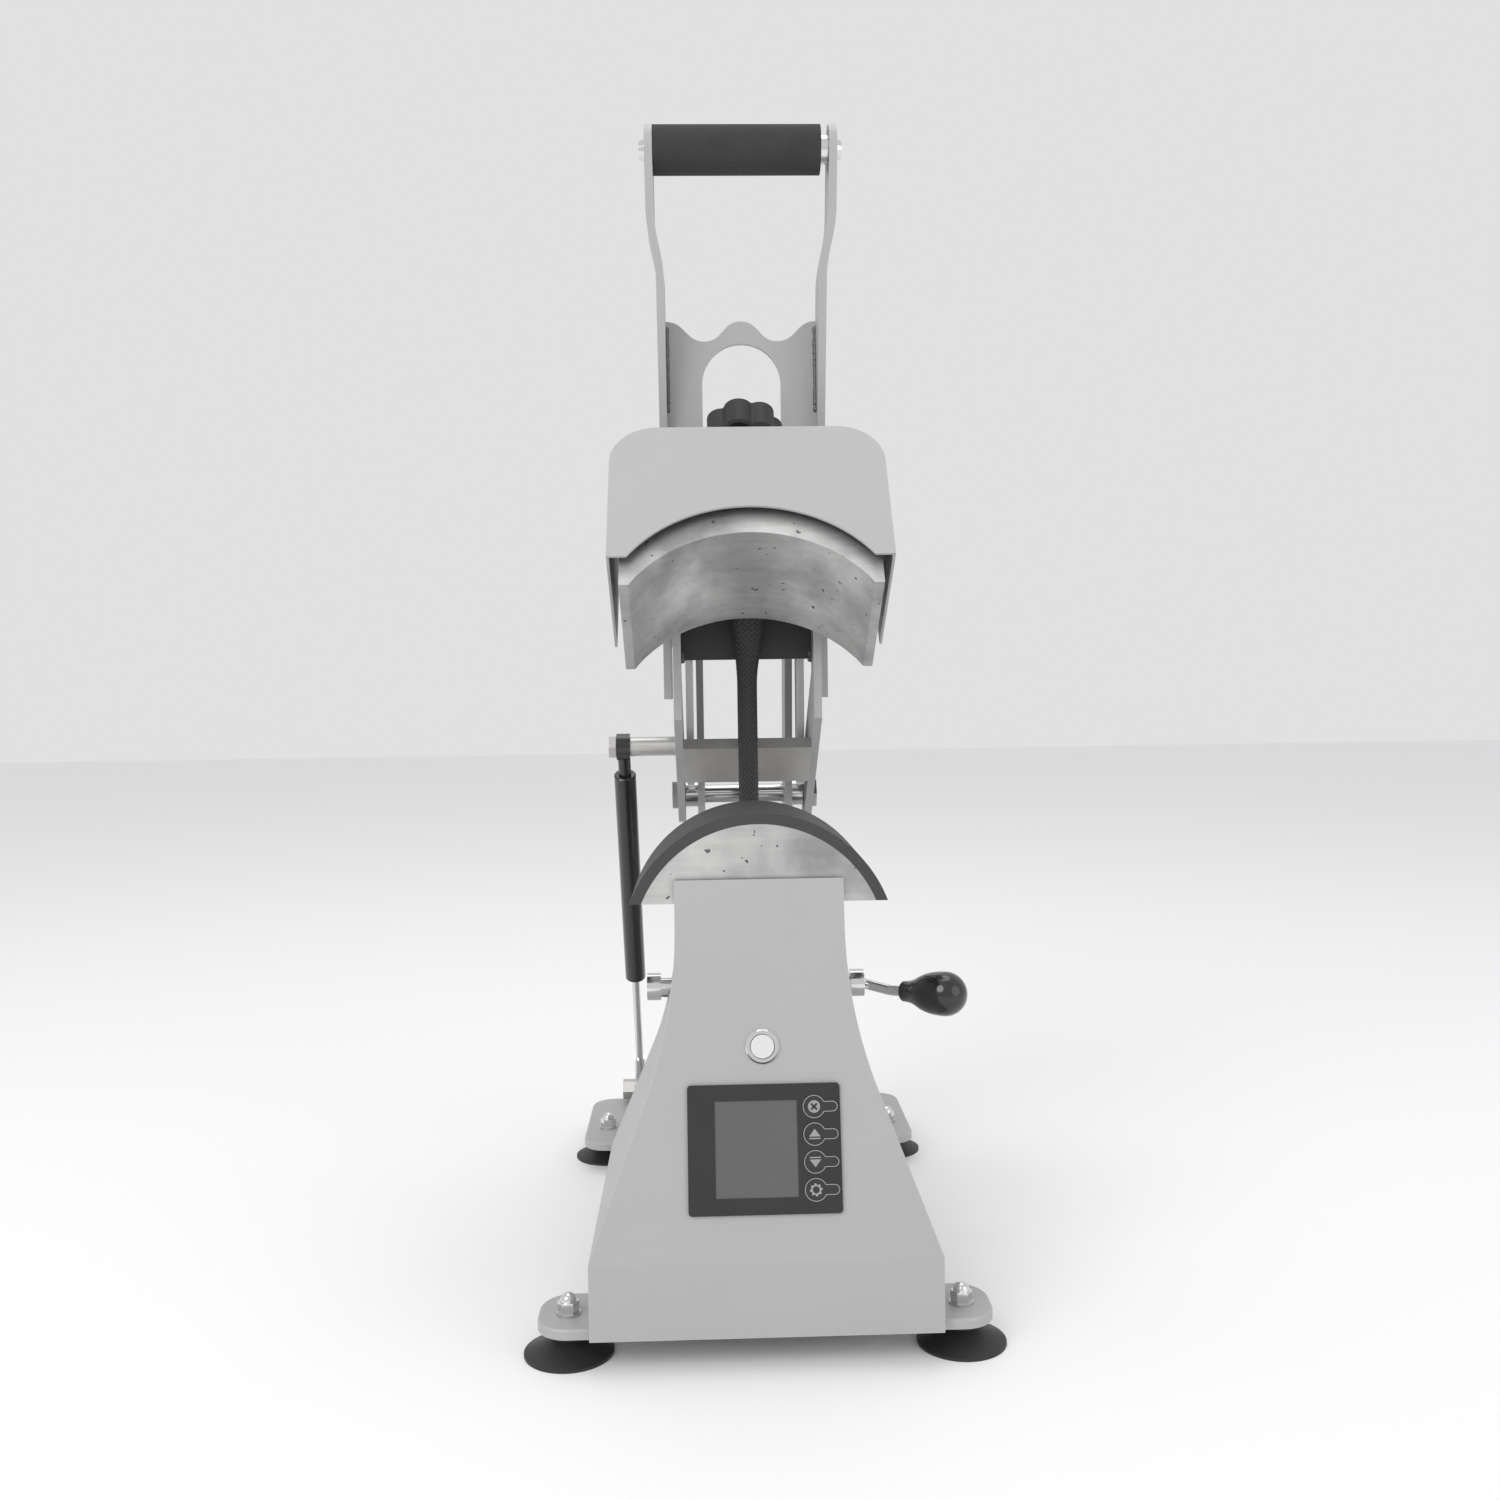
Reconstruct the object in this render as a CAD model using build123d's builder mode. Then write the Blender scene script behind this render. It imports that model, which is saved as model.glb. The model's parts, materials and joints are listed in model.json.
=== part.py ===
from build123d import *
import os
from math import atan2, cos, degrees, hypot, radians, sin, sqrt

os.makedirs("parts", exist_ok=True)

# Cap heat press, semi-automatic, standing open.
# Frame: origin on the table under the middle of the machine, +X to the operator's right,
# +Y to the back, +Z up. Millimetres. The heating head and its beam are drawn in the
# closed position, where they are level, and laid back about the beam shaft by OPEN_ANGLE.

# ---------------------------------------------------------------- driving dimensions

# feet and base
FOOT_SPACING_X = 210.0
FOOT_SPACING_Y = 312.0
CUP_RADIUS = 24.0
CUP_HEIGHT = 15.7
CUP_NECK_RADIUS = 9.5
CUP_WALL = 1.5
CUP_HOLLOW = 4.0
CUP_SHOULDER = 9.7
CUP_BULGE = 5.5
STUD_BITE = 8.2
STUD_CROWN = 1.0
STUD_RADIUS = 3.0
NUT_FLATS = 10.0
NUT_HEIGHT = 6.0
NUT_DOME = 4.4
WASHER_RADIUS = 6.5
WASHER_THICK = 1.2
FOOT_PLATE_WIDTH = 242.0
FOOT_PLATE_THICK = 5.3
FRONT_PLATE_DEPTH = 45.0
FRONT_PLATE_LEAD = 20.0
REAR_PLATE_DEPTH = 111.0
REAR_PLATE_LEAD = 37.0
FOOT_PLATE_CORNER = 17.0
CHANNEL_WIDTH = 120.0
CHANNEL_HEIGHT = 35.0
CHANNEL_WALL = 2.5
CHANNEL_FRONT_GAP = 16.0
CHANNEL_BACK_GAP = 50.0

# front cover
COVER_WALL = 1.5
COVER_BASE_HALF = 92.0
COVER_NECK_HALF = 45.65
COVER_TAPER = 20.7
COVER_NECK_CURVE = 238.0
COVER_BOTTOM = 17.0
COVER_CREASE = 57.0
COVER_TOP = 249.0
COVER_SIDE_TOP = 234.0
COVER_LEAD = 6.0
COVER_SLOPE_RUN = 43.0
COVER_NECK_DEPTH = 132.0
COVER_BASE_DEPTH = 190.0
COVER_FLARE_TOP = 150.0
COVER_FLANGE = 28.0
COVER_SCREW_INSET = 14.0
COVER_SCREW_SPREAD = 26.0
COVER_SCREW_RADIUS = 2.4
SCREW_HEAD_RADIUS = 4.5
SCREW_HEAD_THICK = 3.0
COVER_CLEAR = 1.0

# lower platen and its post
PLATEN_DEPTH = 80.0
PLATEN_BOTTOM = 236.0
PAD_THICK = 6.0
PRESS_GAP = 7.5
POST_WIDTH = 50.0
POST_DEPTH = 40.0
POST_WALL = 3.0
POST_FLANGE_THICK = 5.0
POST_FLANGE_WIDTH = 84.0
POST_FOOT_WIDTH = 84.0
POST_FOOT_DEPTH = 60.0
PLATEN_SCREW_X = 33.0
PLATEN_SCREW_Y = 30.0
PLATEN_SCREW_RADIUS = 3.0
PLATEN_SCREW_BITE = 12.0

# control panel and start button, on the sloping face of the front cover
PANEL_HEIGHT_Z = 112.0
PANEL_WIDTH = 80.0
PANEL_HEIGHT = 66.0
PANEL_THICK = 1.6
PANEL_CORNER = 2.0
SCREEN_WIDTH = 43.0
SCREEN_HEIGHT = 49.0
SCREEN_OFFSET = -4.2
SCREEN_THICK = 1.2
KEY_COUNT = 4
KEY_PITCH = 14.0
KEY_OFFSET = 26.3
KEY_RADIUS = 6.1
KEY_TAB_HEIGHT = 5.8
KEY_TAB_REACH = 12.6
KEY_RISE = 0.4
CASE_WIDTH = 72.0
CASE_HEIGHT = 57.0
CASE_DEPTH = 36.0
CASE_CORNER = 2.0
BUTTON_HEIGHT_Z = 163.0
BUTTON_RADIUS = 6.25
BUTTON_BEZEL_RADIUS = 9.0
BUTTON_BEZEL_THICK = 1.6
BUTTON_BODY_RADIUS = 7.9
BUTTON_BODY_DEPTH = 24.0
BUTTON_TRAVEL = 1.5
BUTTON_PROUD = 2.2
BUTTON_CAP_DEPTH = 8.0
BUTTON_NUT_FLATS = 21.0
BUTTON_NUT_THICK = 3.0

# tower, shafts and fits
PLATE_THICK = 5.0
TOWER_INNER = 28.5
LINK_INNER = 35.5
BEAM_INNER = 42.5
ARM_INNER = 49.5
HINGE_Y = 125.6
HINGE_Z = 274.0
ARM_HINGE_Y = 104.0
ARM_HINGE_Z = 400.0
SHAFT_RADIUS = 7.0
SHAFT_COLLAR = 10.0
SHAFT_HEAD_FLATS = 19.0
SHAFT_HEAD_THICK = 4.0
RUNNING = 0.06
SIDE_GAP = 0.35
FIT = 0.05
TOWER_BOSS = 20.0
TOWER_FOOT_FRONT = 70.0
TOWER_FOOT_BACK = 170.0
TOWER_FOOT_WIDTH = 20.0
TOWER_BACK_REACH = 24.0
TOWER_FRONT_REACH = 36.0
TOWER_WAIST_Z = 150.0

# beam, in the closed position
OPEN_ANGLE = 35.7
BEAM_BOSS = 20.0
BEAM_HEEL_Z = 252.0
BEAM_HEEL_Y = -3.0
BEAM_KNEE_Y = -2.0
BEAM_KNEE_Z = 290.0
BEAM_NOSE_TOP = 358.0
BEAM_NOSE_BOTTOM = 335.0
BEAM_SHOULDER_Y = -47.0
BEAM_ELBOW_Y = -58.0
BEAM_NOSE_Y = -130.0
BRIDGE_BOTTOM = 343.0
BRIDGE_THICK = 8.0
BRIDGE_HALF_DEPTH = 30.0
BOSS_RADIUS = 14.0
BOSS_HEIGHT = 10.0
WEB_THICK = 3.0
WEB_INSET = 0.5
WEB_START = 8.0
WEB_END = 60.0

# holding magnet and its armature
MAGNET_RADIUS = 21.0
MAGNET_HEIGHT = 32.0
MAGNET_Y = 51.0
MAGNET_GAP = 0.5
MAGNET_CORE_RADIUS = 9.0
MAGNET_GROOVE = 4.0
MAGNET_GROOVE_DEPTH = 1.5
SHELF_THICK = 4.0
SHELF_REACH = 28.0
ARMATURE_THICK = 8.0
ARMATURE_DROP = 1.0

# heating head, in the closed position
HEAD_WIDTH = 164.0
HEAD_DEPTH = 85.0
HEAD_LEAD = 6.0
HEAD_BOTTOM = 270.0
HEAD_TOP = 370.6
HEAD_CORNER = 28.0
HEAD_WALL = 1.5
ARCH_HALF_CHORD = 70.5
ARCH_RISE = 37.0
KNOB_HOLE = 12.0
BLOCK_WIDTH = 150.0
BLOCK_TOP = 318.0
BLOCK_BOTTOM = 254.0
BLOCK_CURVE = 82.5
BLOCK_CURVE_Z = 209.5
HEATER_RADIUS = 4.0
HEATER_PROUD = 7.0
HEATER_END = 6.0
HEATER_SPOTS = ((-48.0, 300.0), (-16.0, 305.0), (16.0, 305.0), (48.0, 300.0))
PROBE_RADIUS = 2.5
PROBE_DEPTH = 30.0
PROBE_PROUD = 5.0
PROBE_Z = 305.5
INSULATION_THICK = 6.0
INSULATION_INSET = 4.0
CARRIER_THICK = 4.0
CARRIER_HALF = 62.0
CARRIER_TAB_DEPTH = 30.0
CARRIER_TAB_RISE = 18.0
SOCKET_RADIUS = 14.0
SOCKET_HEIGHT = 6.0
GUIDE_RADIUS = 4.0
GUIDE_SPACING = 30.0
GUIDE_TOP = 366.0
HEAD_SCREW_RADIUS = 2.0
HEAD_SCREW_HEAD = 4.0
HEAD_SCREW_SPACING = 16.0
HEAD_SCREW_RISE = 7.0
HEAD_SCREW_TAPER = 35.0

# pressure screw and star knob
SCREW_Y = -99.5
SCREW_RADIUS = 6.0
SCREW_FLANGE = 9.0
SCREW_FLANGE_THICK = 2.0
KNOB_RADIUS = 25.0
KNOB_LOBES = 7
KNOB_LOBE_RADIUS = 9.5
KNOB_TOP = 415.6
KNOB_HEIGHT = 21.0
KNOB_HUB_RADIUS = 12.0
KNOB_HUB_BOTTOM = 374.0
KNOB_EDGE = 1.6
KNOB_CORE_RADIUS = 17.0
KNOB_VALLEY = 2.0

# handle arms
ARM_FRONT_Y = 44.0
ARM_TAIL_Z = 344.0
ARM_BEND_Z = 522.0
ARM_STRIP = 30.0
ARM_ROOT_STRIP = 40.0
ARM_FLARE = 5.5
ARM_FLARE_RISE = 40.0
ARM_FLARE_DROP = 37.0
HANDLE_Y = 11.0
HANDLE_Z = 689.0
HANDLE_END_RADIUS = 15.0
HANDLE_TUBE_RADIUS = 9.0
HANDLE_BOLT_RADIUS = 4.0
HANDLE_BOLT_HEAD = 7.0
HANDLE_BOLT_HEAD_THICK = 3.6
HANDLE_BOLT_DEPTH = 18.0
HANDLE_BOLT_TAPER = 28.0
GRIP_RADIUS = 15.0
GRIP_LENGTH = 105.0
CROSS_PLATE_Y = 52.0
CROSS_PLATE_BOTTOM = 414.0
CROSS_PLATE_TOP = 593.0
CROSS_PLATE_VALLEY = 580.0
WINDOW_HALF = 26.0
WINDOW_TOP = 578.5
WINDOW_BOTTOM = 432.0
HUMP_SPREAD = 24.0
LINK_PIN_RADIUS = 5.0
LINK_PIN_HEAD = 8.0
LINK_EYE = 11.0
LINK_HEAD_THICK = 1.0
PIN_NUT_FLATS = 14.0
LINK_FLOAT = 1.9
LINK_ARM_Y = -24.0
LINK_ARM_Z = 9.0
LINK_BEAM_Y = 86.5
LINK_BEAM_Z = 294.0

# gas strut
STRUT_X = -83.0
STRUT_FOOT_Y = 221.0
STRUT_FOOT_Z = 31.0
STRUT_TOP_Y = 62.3
STRUT_TOP_Z = 312.1
STRUT_STUD_RADIUS = 4.0
STRUT_EYE_WIDTH = 9.0
STRUT_EYE_RADIUS = 7.5
STRUT_FITTING_RADIUS = 4.3
STRUT_FITTING_LENGTH = 35.0
STRUT_ROD_RADIUS = 3.0
STRUT_ROD_LENGTH = 190.0
STRUT_PISTON_RADIUS = 6.0
STRUT_PISTON_LENGTH = 8.0
STRUT_COLLAR = 6.5
STRUT_TUBE_RADIUS = 7.5
STRUT_TUBE_START = 118.0
STRUT_TUBE_CAP = 6.0
STRUT_TUBE_END_GAP = 22.0
STRUT_TOP_EYE = 9.0
STRUT_TOP_NECK = 4.3
STRUT_FLOAT = 2.2
STRUT_NUT_FLATS = 14.0
STRUT_NUT_THICK = 9.5
STRUT_BRACKET_THICK = 4.0
STRUT_BRACKET_FRONT = 186.0
STRUT_BRACKET_BACK = 233.0
STRUT_BRACKET_TOP = 46.0

# cap clamp: cross shaft, lever and wire bail behind the neck
CLAMP_Y = -66.0
CLAMP_Z = 176.0
CLAMP_SHAFT_RADIUS = 5.0
CLAMP_SHAFT_HALF = 64.0
CLAMP_HUB_RADIUS = 8.0
CLAMP_HUB_WIDTH = 8.0
CLAMP_WALL_GAP = 1.0
CLAMP_BRACKET_THICK = 4.0
CLAMP_BRACKET_RADIUS = 11.0
CLAMP_BRACKET_REACH = 34.0
LEVER_ROOT = 2.0
BAIL_WIRE = 2.2
BAIL_REACH = 46.0
BAIL_DROP = 15.0
BAIL_BEND = 12.0
LEVER_ROD_RADIUS = 3.0
LEVER_KNEE = (15.0, -10.0, -3.0)
LEVER_END = (29.0, -25.0, -1.0)
LEVER_BEND = 9.0
LEVER_KNOB_LENGTH = 42.0
LEVER_KNOB_RADIUS = 12.6
LEVER_KNOB_NECK = 6.0
LEVER_KNOB_SHOULDER = 10.3
LEVER_KNOB_BORE = 10.0
BAIL_ROOT = 7.0

# loom: fabric sleeve that carries the head's wires down to the base
LOOM_RADIUS = 6.5
LOOM_TOP_RADIUS = 12.0
LOOM_ROUTE = ((20.0, 362.0), (21.0, 310.0), (15.0, 250.0), (7.0, 190.0), (3.0, 125.0), (3.0, 42.0))
LOOM_TOP = (14.5, 409.0)

# inlet and relay
INLET_WIDTH = 27.0
INLET_HEIGHT = 19.6
INLET_DEPTH = 22.0
INLET_FLANGE = 3.0
INLET_LIP = 2.0
INLET_SOCKET_WALL = 1.8
INLET_PIN = 2.0
INLET_PIN_PITCH = 7.0
INLET_PIN_DROP = 1.5
INLET_PIN_RISE = 3.0
INLET_FLOOR = 3.0
INLET_PIN_SHY = 4.0
REAR_PANEL_THICK = 2.0
LOOM_HOLE_GAP = 0.3
ARC_SHARE = 0.45
RELAY_WIDTH = 45.0
RELAY_LENGTH = 58.0
RELAY_HEIGHT = 23.0
RELAY_Y = -53.0
EDGE = 0.8

# ---------------------------------------------------------------- worked-out values

FRONT_NUT_Y = -FOOT_SPACING_Y / 2
REAR_NUT_Y = FOOT_SPACING_Y / 2
FEET = [(x, y) for x in (-FOOT_SPACING_X / 2, FOOT_SPACING_X / 2) for y in (FRONT_NUT_Y, REAR_NUT_Y)]
PLATE_TOP = CUP_HEIGHT + FOOT_PLATE_THICK
DECK = PLATE_TOP + CHANNEL_HEIGHT
COVER_FRONT = FRONT_NUT_Y - COVER_LEAD - FRONT_PLATE_LEAD
SLOPE = atan2(COVER_SLOPE_RUN, COVER_TOP - COVER_CREASE)
CHANNEL_FRONT = FRONT_NUT_Y - FRONT_PLATE_LEAD + CHANNEL_FRONT_GAP
CHANNEL_BACK = REAR_NUT_Y - REAR_PLATE_LEAD + REAR_PLATE_DEPTH - CHANNEL_BACK_GAP
ARM_OUTER = ARM_INNER + PLATE_THICK
ARM_FLARE_END = HANDLE_Z - ARM_FLARE_DROP
ARM_FLARE_START = ARM_FLARE_END - ARM_FLARE_RISE
HANDLE_INNER = ARM_INNER + ARM_FLARE
HEAD_FRONT = SCREW_Y - HEAD_DEPTH / 2
BLOCK_Y = HEAD_FRONT + HEAD_LEAD + PLATEN_DEPTH / 2
PLATEN_FRONT = BLOCK_Y - PLATEN_DEPTH / 2
PAD_CURVE = BLOCK_CURVE - PRESS_GAP
CORE_CURVE = PAD_CURVE - PAD_THICK
CARRIER_BOTTOM = BLOCK_TOP + INSULATION_THICK
CARRIER_TOP = CARRIER_BOTTOM + CARRIER_THICK
LINK_ARM = (ARM_HINGE_Y + LINK_ARM_Y, ARM_HINGE_Z + LINK_ARM_Z)
LINK_BEAM = (LINK_BEAM_Y, LINK_BEAM_Z)
HEAD_UP = (0.0, sin(radians(OPEN_ANGLE)), cos(radians(OPEN_ANGLE)))
HEAD_BACK = (0.0, cos(radians(OPEN_ANGLE)), -sin(radians(OPEN_ANGLE)))


def opened(x, y, z):
    """A point of the closed head, laid back about the beam shaft."""
    dy, dz = y - HINGE_Y, z - HINGE_Z
    return (x, HINGE_Y + dy * HEAD_BACK[1] + dz * HEAD_UP[1], HINGE_Z + dy * HEAD_BACK[2] + dz * HEAD_UP[2])


def closed_yz(y, z):
    """The closed-position (y, z) of a point that is given where it stands open."""
    dy, dz = y - HINGE_Y, z - HINGE_Z
    return (HINGE_Y + dy * HEAD_BACK[1] + dz * HEAD_BACK[2], HINGE_Z + dy * HEAD_UP[1] + dz * HEAD_UP[2])


def side_plane(x):
    """Plane across the machine at x; its sketch axes are Y and Z."""
    return Plane(origin=(x, 0, 0), x_dir=(0, 1, 0), z_dir=(1, 0, 0))


def front_plane(y):
    """Plane facing the operator at y; its sketch axes are X and Z."""
    return Plane(origin=(0, y, 0), x_dir=(1, 0, 0), z_dir=(0, -1, 0))


def head_side(x):
    return Plane(origin=opened(x, 0, 0), x_dir=HEAD_BACK, z_dir=(1, 0, 0))


def head_level(z):
    return Plane(origin=opened(0, 0, z), x_dir=(1, 0, 0), z_dir=HEAD_UP)


def head_front(y):
    return Plane(origin=opened(0, y, 0), x_dir=(1, 0, 0), z_dir=tuple(-c for c in HEAD_BACK))


def slope_plane(depth=0.0):
    """Sloping face of the front cover; its origin is the panel's middle, +Z points out."""
    y = COVER_FRONT + (PANEL_HEIGHT_Z - COVER_CREASE) * COVER_SLOPE_RUN / (COVER_TOP - COVER_CREASE)
    out = Vector(0, -cos(SLOPE), sin(SLOPE))
    middle = Vector(0, y, PANEL_HEIGHT_Z) - out * depth
    return Plane(origin=middle, x_dir=(1, 0, 0), z_dir=out)


BUTTON_V = (BUTTON_HEIGHT_Z - PANEL_HEIGHT_Z) / cos(SLOPE)


def hexagon_radius(flats):
    return flats / sqrt(3)


def finish(part, name):
    """Moves a piece so that the origin is under the middle of the whole press, and writes it."""
    placed = part.moved(Location((0, -(COVER_FRONT + STRUT_BRACKET_BACK) / 2, 0)))
    placed.label = name
    export_step(placed, "parts/" + name + ".step")


# ---------------------------------------------------------------- feet and base

def foot_plate(front_y, depth, hole_y):
    with BuildPart() as plate:
        with BuildSketch(Plane.XY.offset(CUP_HEIGHT)):
            with Locations((0, front_y + depth / 2)):
                RectangleRounded(FOOT_PLATE_WIDTH, depth, FOOT_PLATE_CORNER)
            with Locations(*[(x, hole_y) for x in (-FOOT_SPACING_X / 2, FOOT_SPACING_X / 2)]):
                Circle(STUD_RADIUS + FIT, mode=Mode.SUBTRACT)
        extrude(amount=FOOT_PLATE_THICK)
        chamfer(plate.faces().sort_by(Axis.Z)[-1].outer_wire().edges(), EDGE)
    return plate.part


COVER_FLANGE_Y = FRONT_NUT_Y - FRONT_PLATE_LEAD + FRONT_PLATE_DEPTH / 2
COVER_SCREWS = [
    (side * (COVER_BASE_HALF - COVER_SCREW_INSET), COVER_FLANGE_Y + step)
    for side in (-1, 1) for step in (-COVER_SCREW_SPREAD / 2, COVER_SCREW_SPREAD / 2)]

front_blank = foot_plate(FRONT_NUT_Y - FRONT_PLATE_LEAD, FRONT_PLATE_DEPTH, FRONT_NUT_Y)

with BuildPart() as front_foot_plate:
    add(front_blank)
    with BuildSketch(Plane.XY.offset(CUP_HEIGHT)):
        with Locations(*COVER_SCREWS):
            Circle(COVER_SCREW_RADIUS + FIT)
    extrude(amount=FOOT_PLATE_THICK, mode=Mode.SUBTRACT)
finish(front_foot_plate.part, "front_foot_plate")

finish(foot_plate(REAR_NUT_Y - REAR_PLATE_LEAD, REAR_PLATE_DEPTH, REAR_NUT_Y), "rear_foot_plate")

with BuildPart() as suction_cups:
    for foot_x, foot_y in FEET:
        with BuildSketch(Plane(origin=(foot_x, foot_y, 0), x_dir=(1, 0, 0), z_dir=(0, -1, 0))):
            with BuildLine():
                Polyline((0, CUP_HOLLOW), (CUP_RADIUS - CUP_WALL, 0), (CUP_RADIUS, 0), (CUP_RADIUS, CUP_WALL))
                ThreePointArc(
                    (CUP_RADIUS, CUP_WALL), (CUP_RADIUS - CUP_BULGE, CUP_HOLLOW),
                    (CUP_NECK_RADIUS, CUP_SHOULDER))
                Polyline(
                    (CUP_NECK_RADIUS, CUP_SHOULDER), (CUP_NECK_RADIUS, CUP_HEIGHT), (0, CUP_HEIGHT),
                    (0, CUP_HOLLOW))
            make_face()
        revolve(axis=Axis((foot_x, foot_y, 0), (0, 0, 1)))
    with BuildSketch(Plane.XY.offset(CUP_HEIGHT)):
        with Locations(*FEET):
            Circle(STUD_RADIUS + FIT)
    extrude(amount=-STUD_BITE, mode=Mode.SUBTRACT)
finish(suction_cups.part, "suction_cups")

STUD_BOTTOM = CUP_HEIGHT - STUD_BITE
WASHER_TOP = PLATE_TOP + WASHER_THICK
STUD_TOP = WASHER_TOP + NUT_HEIGHT - STUD_CROWN

with BuildPart() as foot_studs:
    with BuildSketch(Plane.XY.offset(STUD_BOTTOM)):
        with Locations(*FEET):
            Circle(STUD_RADIUS)
    extrude(amount=STUD_TOP - STUD_BOTTOM)
finish(foot_studs.part, "foot_studs")

with BuildPart() as foot_washers:
    with BuildSketch(Plane.XY.offset(PLATE_TOP)):
        with Locations(*FEET):
            Circle(WASHER_RADIUS)
            Circle(STUD_RADIUS + FIT, mode=Mode.SUBTRACT)
    extrude(amount=WASHER_THICK)
finish(foot_washers.part, "foot_washers")

with BuildPart() as acorn_nuts:
    with BuildSketch(Plane.XY.offset(WASHER_TOP)):
        with Locations(*FEET):
            RegularPolygon(hexagon_radius(NUT_FLATS), 6)
    extrude(amount=NUT_HEIGHT)
    with Locations(*[(x, y, WASHER_TOP + NUT_HEIGHT) for x, y in FEET]):
        Sphere(NUT_DOME, arc_size1=0, align=(Align.CENTER, Align.CENTER, Align.MIN))
    with BuildSketch(Plane.XY.offset(WASHER_TOP)):
        with Locations(*FEET):
            Circle(STUD_RADIUS + FIT)
    extrude(amount=NUT_HEIGHT - STUD_CROWN + FIT, mode=Mode.SUBTRACT)
finish(acorn_nuts.part, "acorn_nuts")

with BuildPart() as base_channel:
    with BuildSketch(front_plane(CHANNEL_FRONT)):
        with Locations((0, PLATE_TOP + CHANNEL_HEIGHT / 2)):
            Rectangle(CHANNEL_WIDTH, CHANNEL_HEIGHT)
        with Locations((0, PLATE_TOP + (CHANNEL_HEIGHT - CHANNEL_WALL) / 2)):
            Rectangle(CHANNEL_WIDTH - 2 * CHANNEL_WALL, CHANNEL_HEIGHT - CHANNEL_WALL, mode=Mode.SUBTRACT)
    extrude(amount=CHANNEL_FRONT - CHANNEL_BACK)
    with BuildSketch(Plane.XY.offset(DECK)):
        with Locations((0, LOOM_ROUTE[-1][0])):
            Circle(LOOM_RADIUS + LOOM_HOLE_GAP)
    extrude(amount=-CHANNEL_WALL, mode=Mode.SUBTRACT)
    fillet(base_channel.edges().filter_by(Axis.Y).group_by(Axis.Z)[-1], CHANNEL_WALL)
finish(base_channel.part, "base_channel")

INLET_Z = PLATE_TOP + (CHANNEL_HEIGHT - CHANNEL_WALL) / 2

with BuildPart() as rear_panel:
    with BuildSketch(front_plane(CHANNEL_BACK - REAR_PANEL_THICK)):
        with Locations((0, INLET_Z)):
            Rectangle(CHANNEL_WIDTH - 2 * CHANNEL_WALL - 2 * FIT, CHANNEL_HEIGHT - CHANNEL_WALL - 2 * FIT)
            Rectangle(INLET_WIDTH + 2 * FIT, INLET_HEIGHT + 2 * FIT, mode=Mode.SUBTRACT)
    extrude(amount=-REAR_PANEL_THICK)
finish(rear_panel.part, "rear_panel")

INLET_PINS = [
    (-INLET_PIN_PITCH, INLET_Z - INLET_PIN_DROP), (0, INLET_Z + INLET_PIN_RISE),
    (INLET_PIN_PITCH, INLET_Z - INLET_PIN_DROP)]

with BuildPart() as power_inlet:
    with BuildSketch(front_plane(CHANNEL_BACK)):
        with Locations((0, INLET_Z)):
            RectangleRounded(INLET_WIDTH + 2 * INLET_LIP, INLET_HEIGHT + 2 * INLET_LIP, INLET_LIP)
    extrude(amount=-INLET_FLANGE)
    with BuildSketch(front_plane(CHANNEL_BACK)):
        with Locations((0, INLET_Z)):
            Rectangle(INLET_WIDTH, INLET_HEIGHT)
    extrude(amount=INLET_DEPTH)
    with BuildSketch(front_plane(CHANNEL_BACK + INLET_FLANGE)):
        with Locations((0, INLET_Z)):
            Rectangle(INLET_WIDTH - 2 * INLET_SOCKET_WALL, INLET_HEIGHT - 2 * INLET_SOCKET_WALL)
    extrude(amount=INLET_DEPTH + INLET_FLANGE - INLET_FLOOR, mode=Mode.SUBTRACT)
    with BuildSketch(front_plane(CHANNEL_BACK - INLET_DEPTH + INLET_FLOOR)):
        with Locations(*INLET_PINS):
            Rectangle(INLET_PIN, 2 * INLET_PIN)
    extrude(amount=-(INLET_DEPTH - INLET_FLOOR - INLET_PIN_SHY))
finish(power_inlet.part, "power_inlet")

with BuildPart() as power_relay:
    with BuildSketch(Plane.XY.offset(DECK - CHANNEL_WALL)):
        with Locations((-CHANNEL_WIDTH / 4, RELAY_Y)):
            RectangleRounded(RELAY_WIDTH, RELAY_LENGTH, 2 * EDGE)
    extrude(amount=-RELAY_HEIGHT)
finish(power_relay.part, "power_relay")

# ---------------------------------------------------------------- front cover

TAPER = radians(COVER_TAPER)
CURVE_X = COVER_NECK_HALF + COVER_NECK_CURVE * (1 - cos(TAPER))
CURVE_LOW = COVER_CREASE + (COVER_BASE_HALF - CURVE_X) * cos(TAPER) / sin(TAPER)
CURVE_HIGH = CURVE_LOW + COVER_NECK_CURVE * sin(TAPER)


def cover_face(inset, bottom):
    """Front outline of the cover, made smaller by inset on both sides."""
    def edge(side):
        mid = (COVER_NECK_HALF + COVER_NECK_CURVE * (1 - cos(TAPER / 2)),
               CURVE_HIGH - COVER_NECK_CURVE * sin(TAPER / 2))
        points = [(COVER_BASE_HALF, bottom), (COVER_BASE_HALF, COVER_CREASE), (CURVE_X, CURVE_LOW), mid,
                  (COVER_NECK_HALF, CURVE_HIGH), (COVER_NECK_HALF, COVER_TOP)]
        return [(side * (x - inset), z) for x, z in points]
    with BuildSketch() as face:
        with BuildLine():
            for side in (-1, 1):
                base, crease, low, mid, high, top = edge(side)
                Polyline(base, crease, low)
                ThreePointArc(low, mid, high)
                Line(high, top)
            Line(edge(-1)[0], edge(1)[0])
            Line(edge(-1)[-1], edge(1)[-1])
        make_face()
    return face.sketch


SLOPE_WALL = COVER_WALL / cos(SLOPE)


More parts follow.
